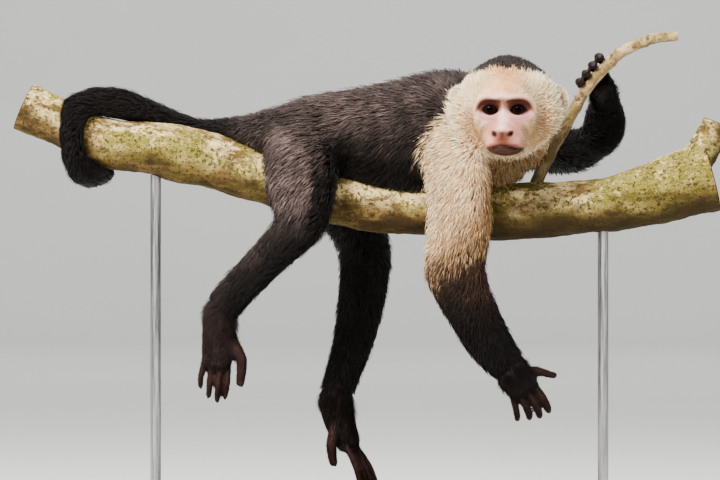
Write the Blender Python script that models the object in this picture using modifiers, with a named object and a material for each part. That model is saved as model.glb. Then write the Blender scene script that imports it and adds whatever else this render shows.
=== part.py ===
"""White-faced capuchin monkey lying along a limb, as a life-size museum model on a display stand.

The animal looks toward -Y with its head at +X and its tail at -X. Sizes below are in millimetres.
Flesh pieces are drawn out to the tips of the coat. Tubes of flesh and wood are lofts: each station
is (x, y, z, half thickness across, half thickness in depth), joined by a smooth curve.
"""

import math

import bmesh
import bpy
import numpy as np
from mathutils import Matrix, Vector

MM = 0.001
GAP = 0.3  # clearance between neighbouring pieces

BASE_SIZE = (460, 210, 18)
BASE_CENTRE = (18, 6)
ROD_RADIUS = 5
ROD_X = {"left": -190, "right": 226}
ROD_TOP = {"left": 345, "right": 296}

PERCH = [
    (-312, 0, 390, 23, 23), (-279, 0, 375, 22, 23), (-237, 0, 356, 23.5, 24),
    (-195, 0, 351, 24, 25), (-165, 0, 345, 27, 26), (-140, 0, 340, 26, 26),
    (-91, 0, 325, 25.5, 25), (-28, 0, 306, 25, 25), (23, 0, 296, 24, 25),
    (84, 0, 293, 24.5, 25), (144, 0, 292, 27, 26), (223, 0, 298, 25, 25),
    (270, 0, 308, 29, 27), (304, 0, 318, 32, 29), (326, 0, 324, 33, 30),
]  # fmt: skip
FORK = [(298, 0, 320, 18, 18), (314, 0, 341, 16, 16), (325, 0, 360, 14, 14), (331, 0, 374, 13, 13)]
TWIG = [
    (158, 0, 306, 6, 6), (178, 4, 349, 6, 6), (189, 8, 367, 5.8, 5.8), (203, 12, 393, 5.5, 5.5),
    (216, 14, 413, 5.5, 5.5), (230, 15, 428, 5.5, 5.5), (243, 15, 440, 5.5, 5.5),
    (261, 15, 449, 5.2, 5.2), (276, 15, 454, 5, 5), (296, 14, 456, 5, 5),
]  # fmt: skip

TORSO = [
    (-100, 0, 370, 15, 20), (-79, 0, 367, 22.5, 35), (-56, 0, 367, 31, 43), (-9, 0, 367, 40, 47),
    (37, 0, 364, 52, 52), (74, 0, 367, 57.5, 53), (107, -2, 370, 54, 48), (128, -11, 370, 50, 42),
    (142, -26, 374, 43, 35), (147, -44, 381, 33, 29),
]  # fmt: skip
TORSO_CUTS = {"trunk_hips": (0, 3), "trunk_loin": (3, 4), "trunk_chest": (4, 7), "neck": (7, 9)}

TAIL = [
    (-86, 0, 368, 14, 16), (-112, 4, 369, 12.5, 14), (-129, 16, 368, 12, 13), (-150, 27, 368, 11.5, 13),
    (-176, 25, 376, 12, 13), (-200, 12, 386, 13, 13), (-223, 0, 394, 14, 14),
    (-246, -7, 395, 14.5, 14), (-262, -20, 386, 13, 12.5), (-267, -32, 366, 11, 11),
    (-266, -33, 345, 11, 11), (-260, -24, 328, 12, 12), (-248, -8, 324, 11, 11),
    (-239, 6, 328, 9.5, 9.5),
]  # fmt: skip
TAIL_CUTS = (0, 3, 6, 8, 10, 13)

RIGHT_ARM = [
    (84, -30, 376, 27, 17), (87, -42, 345, 31, 23), (91, -54, 303, 30.5, 26), (90, -57, 266, 30, 25),
    (87, -57, 238, 28.5, 24), (100, -55, 206, 24.5, 21), (121, -51, 168, 21.5, 17),
    (134, -49, 153, 18, 13), (144, -49, 139, 16.5, 10), (151, -48, 129, 15.5, 8),
]  # fmt: skip
RIGHT_FINGERS = {
    "thumb": [(150, -50, 148, 5, 5), (164, -50, 145, 4.2, 4.2), (178, -45, 141, 3.2, 3.2)],
    "index": [(159, -49, 133, 3.5, 3.5), (168, -46, 121, 3.8, 3.8), (173, -36, 111, 3.6, 3.6),
              (174, -25, 108, 2.9, 2.9)],
    "middle": [(152.5, -49, 129, 3.5, 3.5), (160, -46, 117, 3.8, 3.8), (165, -34, 106, 3.6, 3.6),
               (166, -22, 103, 2.9, 2.9)],
    "ring": [(146, -48, 126, 3.4, 3.4), (152, -44, 114, 3.6, 3.6), (156, -32, 104, 3.4, 3.4),
             (156.5, -20, 101.5, 2.8, 2.8)],
    "little": [(139.5, -46, 124, 3.2, 3.2), (143, -42, 113, 3.4, 3.4), (145, -32, 103, 3.2, 3.2),
               (145.5, -22, 100.5, 2.7, 2.7)],
}  # fmt: skip

LEFT_UPPER_ARM = [(128, 22, 369, 23, 23), (163, 56, 355, 24, 23), (192, 86, 350, 23, 23), (214, 106, 352, 20, 20)]
LEFT_FOREARM = [
    (226, 106, 358, 17, 17), (231, 91, 368, 20.5, 20.5), (232, 72, 381, 20, 20), (231, 54, 391, 15, 15),
    (229, 40, 401, 11, 15), (226, 27, 410, 8, 15),
]  # fmt: skip
GRIP_SLIDES = {"index": 21, "middle": 11, "ring": 1, "little": -8.5}
GRIP_CENTRE = (217.5, 14.1, 414)
GRIP_FINGER = 4.1
GRIP_SWEEP = (128, -38)

RIGHT_LEG = [
    (-55, -22, 372, 30, 17), (-55, -42, 341, 34, 25), (-53, -58, 308, 33, 28), (-54, -66, 281, 24, 23),
    (-74, -56, 259, 19.5, 19), (-99, -36, 234, 18, 17), (-123, -16, 208, 17.5, 15),
    (-130, -15, 187, 16, 14), (-131, -20, 166, 15.5, 10), (-133, -22, 151, 14.5, 7.5),
]  # fmt: skip
RIGHT_TOES = {
    "hallux": [(-119, -21, 172, 6, 6), (-109.5, -24, 155, 5.6, 5.6), (-111, -20, 133, 4.2, 4.2)],
    "second": [(-122.5, -22, 153, 3.3, 3.3), (-123, -22, 134, 3.4, 3.4), (-125, -15, 121, 2.7, 2.7)],
    "third": [(-129.5, -23, 152, 3.3, 3.3), (-131, -23.5, 132, 3.4, 3.4), (-132.5, -15, 118, 2.7, 2.7)],
    "fourth": [(-136.5, -22, 153, 3.3, 3.3), (-139, -22, 134, 3.3, 3.3), (-140, -15, 122, 2.7, 2.7)],
    "fifth": [(-143.5, -21, 154, 3.2, 3.2), (-147, -20, 141, 3.1, 3.1), (-148, -14, 131, 2.6, 2.6)],
}  # fmt: skip

LEFT_LEG = [
    (-38, 26, 354, 31, 20), (-22, 46, 310, 31, 25), (-2, 57, 275, 27, 25), (5, 60, 246, 25, 23),
    (0, 60, 200, 22.5, 21), (-9, 58, 160, 19, 17), (-20, 56, 128, 16.5, 15), (-22, 56, 108, 15.5, 14),
    (-16, 52, 86, 13, 14), (-9, 51, 72, 10.5, 13.5),
]  # fmt: skip
LEFT_TOES = {
    "hallux": [(-23, 45, 92, 5.5, 5.5), (-27, 40, 73, 5.4, 5.4), (-25, 43, 56, 4.2, 4.2)],
    "second": [(-12, 40, 71, 3.3, 3.3), (-3, 37, 51, 3.4, 3.4), (0, 41, 36, 2.7, 2.7)],
    "third": [(-9, 47.5, 70, 3.3, 3.3), (1, 45.5, 49, 3.4, 3.4), (6, 49, 33, 2.7, 2.7)],
    "fourth": [(-6, 55, 70, 3.3, 3.3), (5, 54.5, 50, 3.4, 3.4), (11, 57, 34, 2.7, 2.7)],
    "fifth": [(-5, 62.5, 72, 3.2, 3.2), (8, 63.5, 53, 3.3, 3.3), (14, 65, 39, 2.7, 2.7)],
}  # fmt: skip

HEAD_CENTRE = (135, -58, 387)
HEAD_YAW = 7  # degrees, toward -X
HEAD_PITCH = 2  # degrees, downward
# Ellipsoids in the head's own right, up and forward axes: centre, then half sizes.
HEAD_FORMS = {
    "cranium": ((0, 5, -6), (45, 41, 43)),
    "crown": ((0, 10, -6), (24, 37, 30)),
    "ruff": ((0, -5, -4), (54, 36, 27)),
    "face": ((0, -8, 6), (37, 33, 34)),
    "brow": ((0, 9, 14), (27, 10, 28)),
    "jaw": ((0, -21, 8), (30, 27, 31)),
    "forehead": ((0, 15, 6), (34, 26, 31)),
    "muzzle": ((0, -27, 20), (20.5, 17, 32)),
    "nose": ((0, -20, 26), (11, 9, 26)),
    "lips": ((0, -33, 24), (17, 12, 26)),
}
EYE_RADIUS = 8.5
EYE_PLACE = (12.8, -2, 26.5)
SOCKET = (10.5, 6.5, 8.5)  # half width, half height, depth
EAR_PLACE = (46.5, 5, -6)
EAR_SIZE = (10.5, 15, 4)  # outward, upward, thick
EAR_FLARE = 38  # degrees that the ear turns back from facing forward

COLOURS = {
    "cream_fur": ((0.62, 0.48, 0.32), 0.95),
    "black_fur": ((0.020, 0.016, 0.014), 0.9),
    "hand_skin": ((0.045, 0.028, 0.024), 0.7),
    "eye": ((0.012, 0.007, 0.005), 0.05),
    "bark": ((0.36, 0.29, 0.16), 0.95),
    "stand_wood": ((0.10, 0.055, 0.03), 0.4),
    "stand_steel": ((0.55, 0.55, 0.56), 0.3),
}


def clear_scene():
    for obj in list(bpy.data.objects):
        bpy.data.objects.remove(obj, do_unlink=True)


def new_collection(name):
    collection = bpy.data.collections.new(name)
    bpy.context.scene.collection.children.link(collection)
    return collection


def material(obj, name):
    """Gives the object a Principled material of its own."""
    colour, roughness = COLOURS[name]
    made = bpy.data.materials.new(f"{obj.name}_{name}")
    made.use_nodes = True
    shader = made.node_tree.nodes["Principled BSDF"]
    shader.inputs["Base Color"].default_value = (*colour, 1)
    shader.inputs["Roughness"].default_value = roughness
    shader.inputs["Metallic"].default_value = 1.0 if name == "stand_steel" else 0.0
    obj.data.materials.append(made)


def object_from(bm, name, look=None):
    """An object in the model's collection, or with no look a hidden cutter."""
    mesh = bpy.data.meshes.new(name)
    bmesh.ops.recalc_face_normals(bm, faces=bm.faces)
    if bm.calc_volume(signed=True) < 0:
        bmesh.ops.reverse_faces(bm, faces=bm.faces)
    bm.to_mesh(mesh)
    bm.free()
    obj = bpy.data.objects.new(name, mesh)
    if look:
        mesh.shade_smooth()
        mesh.set_sharp_from_angle(angle=math.radians(40))
        MODEL.objects.link(obj)
        material(obj, look)
    else:
        CUTTERS.objects.link(obj)
        obj.hide_render = True
        obj.display_type = "WIRE"
    return obj


def smooth_rows(stations, steps):
    """Catmull-Rom curve through the stations, with their thicknesses: steps rows to a span."""
    rows = np.array(stations, float)
    ends = np.vstack([2 * rows[0] - rows[1], rows, 2 * rows[-1] - rows[-2]])
    made = []
    for i in range(len(rows) - 1):
        a, b, c, d = ends[i : i + 4]
        for t in np.arange(steps) / steps:
            made.append(
                0.5 * (2 * b + (c - a) * t + (2 * a - 5 * b + 4 * c - d) * t**2 + (3 * b - a - 3 * c + d) * t**3)
            )
    return np.vstack([*made, rows[-1]])


def row_frames(centres):
    """Unit vectors along the curve, across it and in depth, carried along without twist from +Y."""
    along = np.gradient(centres, axis=0)
    along /= np.linalg.norm(along, axis=1)[:, None]
    depth = np.array([0.0, 1.0, 0.0])
    across_all, depth_all = [], []
    for direction in along:
        depth = depth - direction * (depth @ direction)
        depth /= np.linalg.norm(depth)
        depth_all.append(depth)
        across_all.append(np.cross(direction, depth))
    return along, np.array(across_all), np.array(depth_all)


def loft(name, stations, look=None, sides=12, steps=2, part=None, round_start=0, round_end=0, grow=0):
    """A closed tube through the stations. part takes the spans between two stations, each end drawn
    back by half a gap; a rounded end bulges that many millimetres past its station."""
    rows = smooth_rows(stations, steps)
    along, across, depth = row_frames(rows[:, :3])
    first, last = (part[0] * steps, part[1] * steps) if part else (0, len(rows) - 1)
    rings = []

    def ring(i, shift, scale):
        centre = rows[i, :3] + along[i] * shift
        angles = 2 * math.pi * np.arange(sides) / sides
        a, b = (rows[i, 3:] + grow) * scale
        rings.append(
            centre + np.outer(np.cos(angles) * a, across[i]) + np.outer(np.sin(angles) * b, depth[i])
        )

    if round_start:
        for angle in (72, 38):
            ring(first, -(round_start + grow) * math.sin(math.radians(angle)), math.cos(math.radians(angle)))
    for i in range(first, last + 1):
        shift = 0
        if part and i == first and i > 0:
            shift = GAP / 2
        if part and i == last and i < len(rows) - 1:
            shift = -GAP / 2
        ring(i, shift, 1)
    if round_end:
        for angle in (38, 72):
            ring(last, (round_end + grow) * math.sin(math.radians(angle)), math.cos(math.radians(angle)))

    bm = bmesh.new()
    verts = [[bm.verts.new(point * MM) for point in points] for points in rings]
    for low, high in zip(verts, verts[1:]):
        for k in range(sides):
            bm.faces.new((low[k - 1], low[k], high[k], high[k - 1]))
    bm.faces.new(verts[0])
    bm.faces.new(verts[-1])
    return object_from(bm, name, look)


def carve(obj, cutters, operation="DIFFERENCE"):
    for cutter in cutters:
        modifier = obj.modifiers.new(f"{operation.lower()}_{cutter.name}", "BOOLEAN")
        modifier.operation = operation
        modifier.solver = "EXACT"
        modifier.object = cutter


def head_axes():
    """The head's right, up and forward directions as columns."""
    yaw = Matrix.Rotation(-math.radians(HEAD_YAW), 3, "Z")
    pitch = Matrix.Rotation(math.radians(HEAD_PITCH), 3, "X")
    face_on = Matrix(((1, 0, 0), (0, 0, -1), (0, 1, 0)))
    return np.array(yaw @ pitch @ face_on)


def head_radius(directions):
    """Distance from the head's centre to its surface: a smooth union of ellipsoids, less two sockets."""
    power = 14
    total = np.zeros(len(directions))
    for centre, half in HEAD_FORMS.values():
        scaled = directions / np.array(half)
        offset = np.array(centre) / np.array(half)
        a = (scaled**2).sum(axis=1)
        b = scaled @ offset
        inside = np.maximum(b**2 - a * (offset @ offset - 1), 0)
        reach = np.maximum((b + np.sqrt(inside)) / a, 1) * (inside > 0)
        total += reach**power
    radius = total ** (1 / power)
    points = directions * radius[:, None]
    half_width, half_height, depth = SOCKET
    for side in (-1, 1):
        wide = (points[:, 0] - side * EYE_PLACE[0]) / half_width
        high = (points[:, 1] - EYE_PLACE[1]) / half_height
        front = points[:, 2] > 0
        radius = radius - depth * front * np.exp(-((wide**2 + high**2) ** 1.5))
    return radius


def head_point(place):
    return np.array(HEAD_CENTRE) + head_axes() @ np.array(place)


def head_solid(name, look=None, grow=0):
    """A sphere with its pole at the muzzle and its rings closer there, drawn out to head_radius."""
    bm = bmesh.new()
    bmesh.ops.create_uvsphere(bm, u_segments=26, v_segments=20, radius=1)
    unit = np.array([v.co for v in bm.verts])
    polar = math.pi * (np.arccos(np.clip(unit[:, 2], -1, 1)) / math.pi) ** 1.35
    turn = np.arctan2(unit[:, 1], unit[:, 0])
    tilt = math.radians(-18)
    local = np.column_stack([np.sin(polar) * np.cos(turn), np.sin(polar) * np.sin(turn), np.cos(polar)])
    up = local[:, 1] * math.cos(tilt) + local[:, 2] * math.sin(tilt)
    forward = local[:, 2] * math.cos(tilt) - local[:, 1] * math.sin(tilt)
    local = np.column_stack([local[:, 0], up, forward])
    points = local * (head_radius(local) + grow)[:, None] @ head_axes().T + np.array(HEAD_CENTRE)
    for vert, point in zip(bm.verts, points):
        vert.co = Vector(point * MM)
    return object_from(bm, name, look)


def ball(name, centre, half_sizes, look=None, turn=None, segments=16, rings=10):
    bm = bmesh.new()
    bmesh.ops.create_uvsphere(bm, u_segments=segments, v_segments=rings, radius=1)
    axes = Matrix(turn.tolist()) if turn is not None else Matrix.Identity(3)
    shape = axes @ Matrix.Diagonal(Vector(half_sizes) * MM)
    for vert in bm.verts:
        vert.co = shape @ vert.co + Vector(centre) * MM
    return object_from(bm, name, look)


def ear_solid(name, sign, look=None, grow=0):
    centre = head_point((sign * EAR_PLACE[0], *EAR_PLACE[1:]))
    turn = head_axes() @ np.array(Matrix.Rotation(sign * math.radians(EAR_FLARE), 3, "Y"))
    return ball(name, centre, np.array(EAR_SIZE) + grow, look, turn, 12, 8)


def make_head():
    head = head_solid("head", "cream_fur")
    eyes = []
    for side, sign in (("right", -1), ("left", 1)):
        centre = head_point((sign * EYE_PLACE[0], *EYE_PLACE[1:]))
        ball(f"eye_{side}", centre, [EYE_RADIUS] * 3, "eye", segments=14, rings=9)
        eyes.append(ball(f"cut_eye_{side}", centre, [EYE_RADIUS + GAP] * 3, segments=14, rings=9))
    carve(head, eyes)
    for side, sign in (("right", -1), ("left", 1)):
        carve(ear_solid(f"ear_{side}", sign, "cream_fur"), [CUT["head"]])


def make_perch():
    fork = loft("cut_fork", FORK, steps=1)
    perch = loft("perch_limb", PERCH, "bark", sides=16, steps=1)
    carve(perch, [fork], "UNION")
    twig = loft("perch_twig", TWIG, "bark", sides=8, steps=1)
    carve(twig, [CUT["perch"]])


def make_stand():
    bm = bmesh.new()
    bmesh.ops.create_cube(bm, size=1)
    length, depth, height = BASE_SIZE
    bmesh.ops.scale(bm, vec=Vector(BASE_SIZE) * MM, verts=bm.verts)
    bmesh.ops.translate(bm, vec=Vector((*BASE_CENTRE, height / 2)) * MM, verts=bm.verts)
    base = object_from(bm, "stand_base", "stand_wood")
    bevel = base.modifiers.new("edges", "BEVEL")
    bevel.width = 2.5 * MM
    bevel.segments = 2
    for side, x in ROD_X.items():
        bottom = height + GAP
        rod = bmesh.new()
        bmesh.ops.create_cone(
            rod, cap_ends=True, segments=16, radius1=ROD_RADIUS * MM, radius2=ROD_RADIUS * MM,
            depth=(ROD_TOP[side] - bottom) * MM,
        )  # fmt: skip
        middle = Vector((x, 0, (bottom + ROD_TOP[side]) / 2)) * MM
        bmesh.ops.translate(rod, vec=middle, verts=rod.verts)
        carve(object_from(rod, f"stand_rod_{side}", "stand_steel"), [CUT["perch"]])


def make_torso():
    for name, part in TORSO_CUTS.items():
        rounded = {"round_start": 9} if part[0] == 0 else {"round_end": 8} if name == "neck" else {}
        look = "cream_fur" if name == "neck" else "black_fur"
        piece = loft(name, TORSO, look, sides=16, part=part, **rounded)
        carve(piece, [CUT["head"]] if name == "neck" else [CUT["perch"]])
        if name == "trunk_chest":
            carve(piece, [CUT["head"], CUT["ear"]])


def make_tail():
    for count, part in enumerate(zip(TAIL_CUTS, TAIL_CUTS[1:]), 1):
        rounded = {"round_end": 9} if part[1] == len(TAIL) - 1 else {}
        length = loft(f"tail_{count}", TAIL, "black_fur", sides=10, steps=1, part=part, **rounded)
        carve(length, [CUT["torso"], CUT["perch"]] if count == 1 else [CUT["perch"]])


def make_limb(names, stations, joints, cutters, looks):
    """A leg or an arm with its sole or palm, parted at the two joints. Returns the grown sole or palm,
    which cuts the digits."""
    upper = loft(names[0], stations, looks[0], part=(0, joints[0]), round_start=12)
    carve(upper, cutters)
    return make_lower_limb(names[1:], stations, joints, looks[1])


def make_lower_limb(names, stations, joints, look, round_start=0, cutters=()):
    lower = loft(names[0], stations, look, part=joints, round_start=round_start)
    carve(lower, cutters)
    end = (joints[1], len(stations) - 1)
    loft(names[1], stations, "hand_skin", part=end, round_end=3)
    return loft(f"cut_{names[1]}", stations, part=end, round_end=3, grow=GAP)


def make_digits(side, part, digits, cutters):
    for name, stations in digits.items():
        digit = loft(f"{part}_{side}_{name}", stations, "hand_skin", 7, 2 if len(stations) < 5 else 1, round_end=3)
        carve(digit, cutters)


def grip_digits():
    """Fingers bent round the twig as arcs, side by side along it, and a thumb up its near lower side."""
    low, high = np.array(TWIG[3][:3]), np.array(TWIG[5][:3])
    along = (high - low) / np.linalg.norm(high - low)
    back = np.array([0, 1, 0]) - along * along[1]
    back /= np.linalg.norm(back)
    left = np.cross(back, along)
    left *= -np.sign(left[0])
    reach = TWIG[4][3] + GRIP_FINGER + 0.6
    fingers = {}
    for name, slide in GRIP_SLIDES.items():
        centre = np.array(GRIP_CENTRE) + along * slide
        stations = []
        for angle in np.radians(np.linspace(*GRIP_SWEEP, 5)):
            point = centre + reach * (math.cos(angle) * left + math.sin(angle) * back)
            stations.append((*point, GRIP_FINGER, GRIP_FINGER))
        fingers[name] = stations
    thumb = []
    for angle, slide in ((200, -1), (222, 4), (244, 9)):
        turn = math.radians(angle)
        centre = np.array(GRIP_CENTRE) + along * slide
        point = centre + reach * (math.cos(turn) * left + math.sin(turn) * back)
        thumb.append((*point, GRIP_FINGER, GRIP_FINGER))
    fingers["thumb"] = thumb
    return fingers


def make_arms():
    body = [CUT["torso"], CUT["head"]]
    names = ("upper_arm_right", "forearm_right", "hand_right")
    palm = make_limb(names, RIGHT_ARM, (4, 7), body, ("cream_fur", "black_fur"))
    make_digits("right", "hand", RIGHT_FINGERS, [palm])
    upper = {"round_start": 12, "round_end": 16}
    carve(loft("upper_arm_left", LEFT_UPPER_ARM, "black_fur", **upper), body)
    bend = [loft("cut_upper_arm_left", LEFT_UPPER_ARM, grow=GAP, **upper)]
    palm = make_lower_limb(("forearm_left", "hand_left"), LEFT_FOREARM, (0, 3), "black_fur", 14, bend)
    make_digits("left", "hand", grip_digits(), [palm])


def make_legs():
    body = [CUT["torso"], CUT["perch"]]
    dark = ("black_fur", "black_fur")
    sole = make_limb(("thigh_right", "shank_right", "foot_right"), RIGHT_LEG, (3, 6), body, dark)
    make_digits("right", "foot", RIGHT_TOES, [sole])
    sole = make_limb(("thigh_left", "shank_left", "foot_left"), LEFT_LEG, (3, 6), body, dark)
    make_digits("left", "foot", LEFT_TOES, [sole])


clear_scene()
MODEL = new_collection("white_faced_capuchin")
CUTTERS = new_collection("cutters")
CUT = {
    "perch": loft("cut_perch", PERCH, sides=16, steps=1, grow=GAP),
    "twig": loft("cut_twig", TWIG, sides=8, steps=1, grow=GAP),
    "torso": loft("cut_torso", TORSO, sides=16, round_start=9, round_end=8, grow=3 * GAP),
    "head": head_solid("cut_head", grow=2 * GAP),
    "ear": ear_solid("cut_ear", -1, grow=GAP),
}
make_perch()
make_stand()
make_torso()
make_head()
make_tail()
make_arms()
make_legs()
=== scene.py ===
"""White-faced capuchin display model: skin, coat, eyes, ears, nails, mossy limb, twig and stand.

Shapes are worked out in millimetres in the CAD frame and turn into metres when a mesh is made. Colours are
display colours of 0 to 255 when written as three numbers, and linear light when they are arrays.
"""

import math

import bmesh
import bpy
import numpy as np
from mathutils.bvhtree import BVHTree
from mathutils.kdtree import KDTree
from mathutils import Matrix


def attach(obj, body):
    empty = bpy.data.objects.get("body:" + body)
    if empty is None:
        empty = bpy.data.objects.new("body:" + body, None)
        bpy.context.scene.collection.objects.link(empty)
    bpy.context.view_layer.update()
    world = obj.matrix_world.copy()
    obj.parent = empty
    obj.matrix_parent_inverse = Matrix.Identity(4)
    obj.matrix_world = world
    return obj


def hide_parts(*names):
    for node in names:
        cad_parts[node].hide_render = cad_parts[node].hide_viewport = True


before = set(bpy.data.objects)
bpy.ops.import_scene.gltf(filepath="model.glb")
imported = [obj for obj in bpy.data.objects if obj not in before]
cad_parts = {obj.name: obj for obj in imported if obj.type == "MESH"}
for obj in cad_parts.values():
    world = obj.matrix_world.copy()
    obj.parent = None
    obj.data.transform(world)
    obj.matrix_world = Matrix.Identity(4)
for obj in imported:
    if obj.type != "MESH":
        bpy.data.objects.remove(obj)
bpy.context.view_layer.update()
MM = 0.001
SEED = 20
THIN = 1.0

HEAD_CENTRE = np.array([135.0, -58.0, 387.0])
HEAD_YAW, HEAD_PITCH = 7, 2  # degrees, toward -X and downward
# Ellipsoids of the head in its own right, up and forward axes: centre, then half sizes.
HEAD_FORMS = {
    "cranium": ((0, 5, -6), (45, 41, 43)),
    "crown": ((0, 10, -6), (24, 37, 30)),
    "ruff": ((0, -5, -4), (54, 36, 27)),
    "face": ((0, -8, 6), (37, 33, 34)),
    "brow": ((0, 9, 14), (27, 10, 28)),
    "jaw": ((0, -21, 8), (30, 27, 31)),
    "forehead": ((0, 15, 6), (34, 26, 31)),
    "muzzle": ((0, -27, 20), (20.5, 17, 32)),
    "nose": ((0, -20, 26), (11, 9, 26)),
    "lips": ((0, -33, 24), (17, 12, 26)),
}
FORM_BLEND = 14  # the higher, the sharper the creases between the ellipsoids
EYE_RADIUS = 8.5
EYE_PLACE = np.array([12.8, -2.0, 26.5])
SOCKET = (10.5, 6.5, 8.5)  # half width, half height and depth
LID_RADIUS = 9.3
EYE_OPENING = (7.6, 5.3)  # half width and half height of the almond between the lids
LOWER_LID = 0.82  # half height of the almond below its middle line, as a share of that above
EAR_PLACE = np.array([46.5, 5, -6])
EAR_SIZE = (10.5, 15)
EAR_FLARE = 38

# Coat depth, hair length and lock width over each group of nodes.
COAT = {
    "head": (6.0, 12, 0.72),
    "eye": (0.5, 2, 0.5),
    "neck": (8.0, 15, 0.85),
    "trunk_chest": (7.0, 17, 0.92),
    "trunk_loin": (7.0, 19, 0.98),
    "trunk_hips": (7.0, 19, 0.98),
    "tail": (4.6, 14, 0.9),
    "upper_arm": (6.0, 14, 0.85),
    "forearm": (4.2, 12, 0.82),
    "hand": (2.6, 3, 0.5),
    "thigh": (7.0, 17, 0.95),
    "shank": (4.4, 13, 0.88),
    "foot": (2.6, 3, 0.5),
}
# Starts of the names of the nodes that a coat piece covers, spacing of its locks, and its hair.
FUR = {
    "coat_head": (("head",), 1.0, "cream"),
    "coat_neck": (("neck",), 1.05, "cream"),
    "coat_chest": (("trunk_chest",), 1.15, "black"),
    "coat_loins": (("trunk_loin",), 1.2, "black"),
    "coat_hips": (("trunk_hips",), 1.2, "black"),
    "coat_upper_arm_right": (("upper_arm_right",), 1.05, "cream"),
    "coat_forearm_right": (("forearm_right",), 1.05, "black"),
    "coat_arm_left": (("upper_arm_left", "forearm_left"), 1.2, "black"),
    "coat_leg_right": (("thigh_right", "shank_right"), 1.2, "black"),
    "coat_leg_left": (("thigh_left", "shank_left"), 1.2, "black"),
    "coat_tail": (("tail",), 1.15, "black"),
}
CLUMP = {"cream": 4.2, "black": 6.0}  # size of the bunches that the tips of the locks draw into
PAWS = {
    "hand_right": "forearm_right",
    "hand_left": "forearm_left",
    "foot_right": "shank_right",
    "foot_left": "shank_left",
}
DIGITS = ("thumb", "index", "middle", "ring", "little", "hallux", "second", "third", "fourth", "fifth")


def linear(colour):
    """A display colour as linear light; an array is that already."""
    if isinstance(colour, np.ndarray):
        return colour
    shade = np.array(colour) / 255
    return np.where(shade > 0.04045, ((shade + 0.055) / 1.055) ** 2.4, shade / 12.92)


CREAM = linear((255, 218, 174))
WHITE_FUR = linear((255, 232, 198))
FOREHEAD = linear((252, 170, 108))
TAN_FUR = linear((206, 164, 112))
GOLD_FUR = linear((164, 126, 84))
BLACK_FUR = linear((9, 6, 5))
CAP_FUR = linear((38, 29, 27))
SHEEN_FUR = linear((72, 60, 57))
THROAT_SHADE = linear((112, 84, 42))
FACE_SKIN = linear((242, 180, 158))
MUZZLE_SKIN = linear((212, 132, 112))
SOCKET_SKIN_AND_SHADE = linear((80, 34, 18))
BAG_SKIN = linear((182, 110, 122))
LIP_SKIN = linear((36, 16, 0))
HAND_SKIN = linear((22, 13, 11))
FOLD_SHADE = linear((150, 100, 78))


def ease(value, low, high):
    """Smooth step from 0 at low to 1 at high; high may be the smaller one."""
    t = np.clip((value - low) / (high - low), 0, 1)
    return t * t * (3 - 2 * t)


def span(value, start, full, fall, end):
    """Smooth hill: rises from 0 at start to 1 at full, and falls from 1 at fall to 0 at end."""
    return ease(value, start, full) * ease(value, end, fall)


def bump(value, centre, width):
    """Bell curve of height 1."""
    return np.exp(-(((value - centre) / width) ** 2))


def oval(u, v, wide, middle, high):
    """Distance from a place on the middle line, 1 on the ellipse of that half width and half height."""
    return np.hypot(u / wide, (v - middle) / high)


def blend(share, low, high):
    """Colours or numbers mixed per row: low where share is 0, high where it is 1."""
    share = np.asarray(share)[..., None]
    return low * (1 - share) + high * share


def painted(tone, *layers):
    """A colour, or a colour per row, under layers: each a share per row and a colour."""
    for share, colour in layers:
        tone = blend(share, tone, linear(colour))
    return tone


def ripple(points, size, seed, waves=7):
    """Smooth noise from -1 to 1: the mean of sine waves of about the given length in random directions."""
    rng = np.random.default_rng(seed)
    aim = rng.normal(size=(waves, 3))
    aim *= (2 * math.pi / size * rng.uniform(0.6, 1.5, waves) / np.linalg.norm(aim, axis=1))[:, None]
    return np.sin(points @ aim.T + rng.uniform(0, 2 * math.pi, waves)).sum(axis=1) / math.sqrt(waves * 2)


def unit(vectors):
    return vectors / np.maximum(np.linalg.norm(vectors, axis=-1, keepdims=True), 1e-9)


def along_surface(vectors, normals):
    """Unit directions of the vectors with what points along the normals taken out."""
    return unit(vectors - normals * (vectors * normals).sum(axis=-1, keepdims=True))


# --------------------------------------------------------------------------- materials


class Wire:
    """An output of a node. Arithmetic on it adds Math nodes."""

    def __init__(self, finish, socket):
        self.finish, self.socket = finish, socket

    def _math(self, operation, first, second):
        return self.finish.node("Math", {"operation": operation}, {0: first, 1: second})

    def __add__(self, other):
        return self._math("ADD", self, other)

    def __sub__(self, other):
        return self._math("SUBTRACT", self, other)

    def __mul__(self, other):
        return self._math("MULTIPLY", self, other)

    def __radd__(self, other):
        return self._math("ADD", other, self)

    def __rsub__(self, other):
        return self._math("SUBTRACT", other, self)

    def __rmul__(self, other):
        return self._math("MULTIPLY", other, self)


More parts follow.
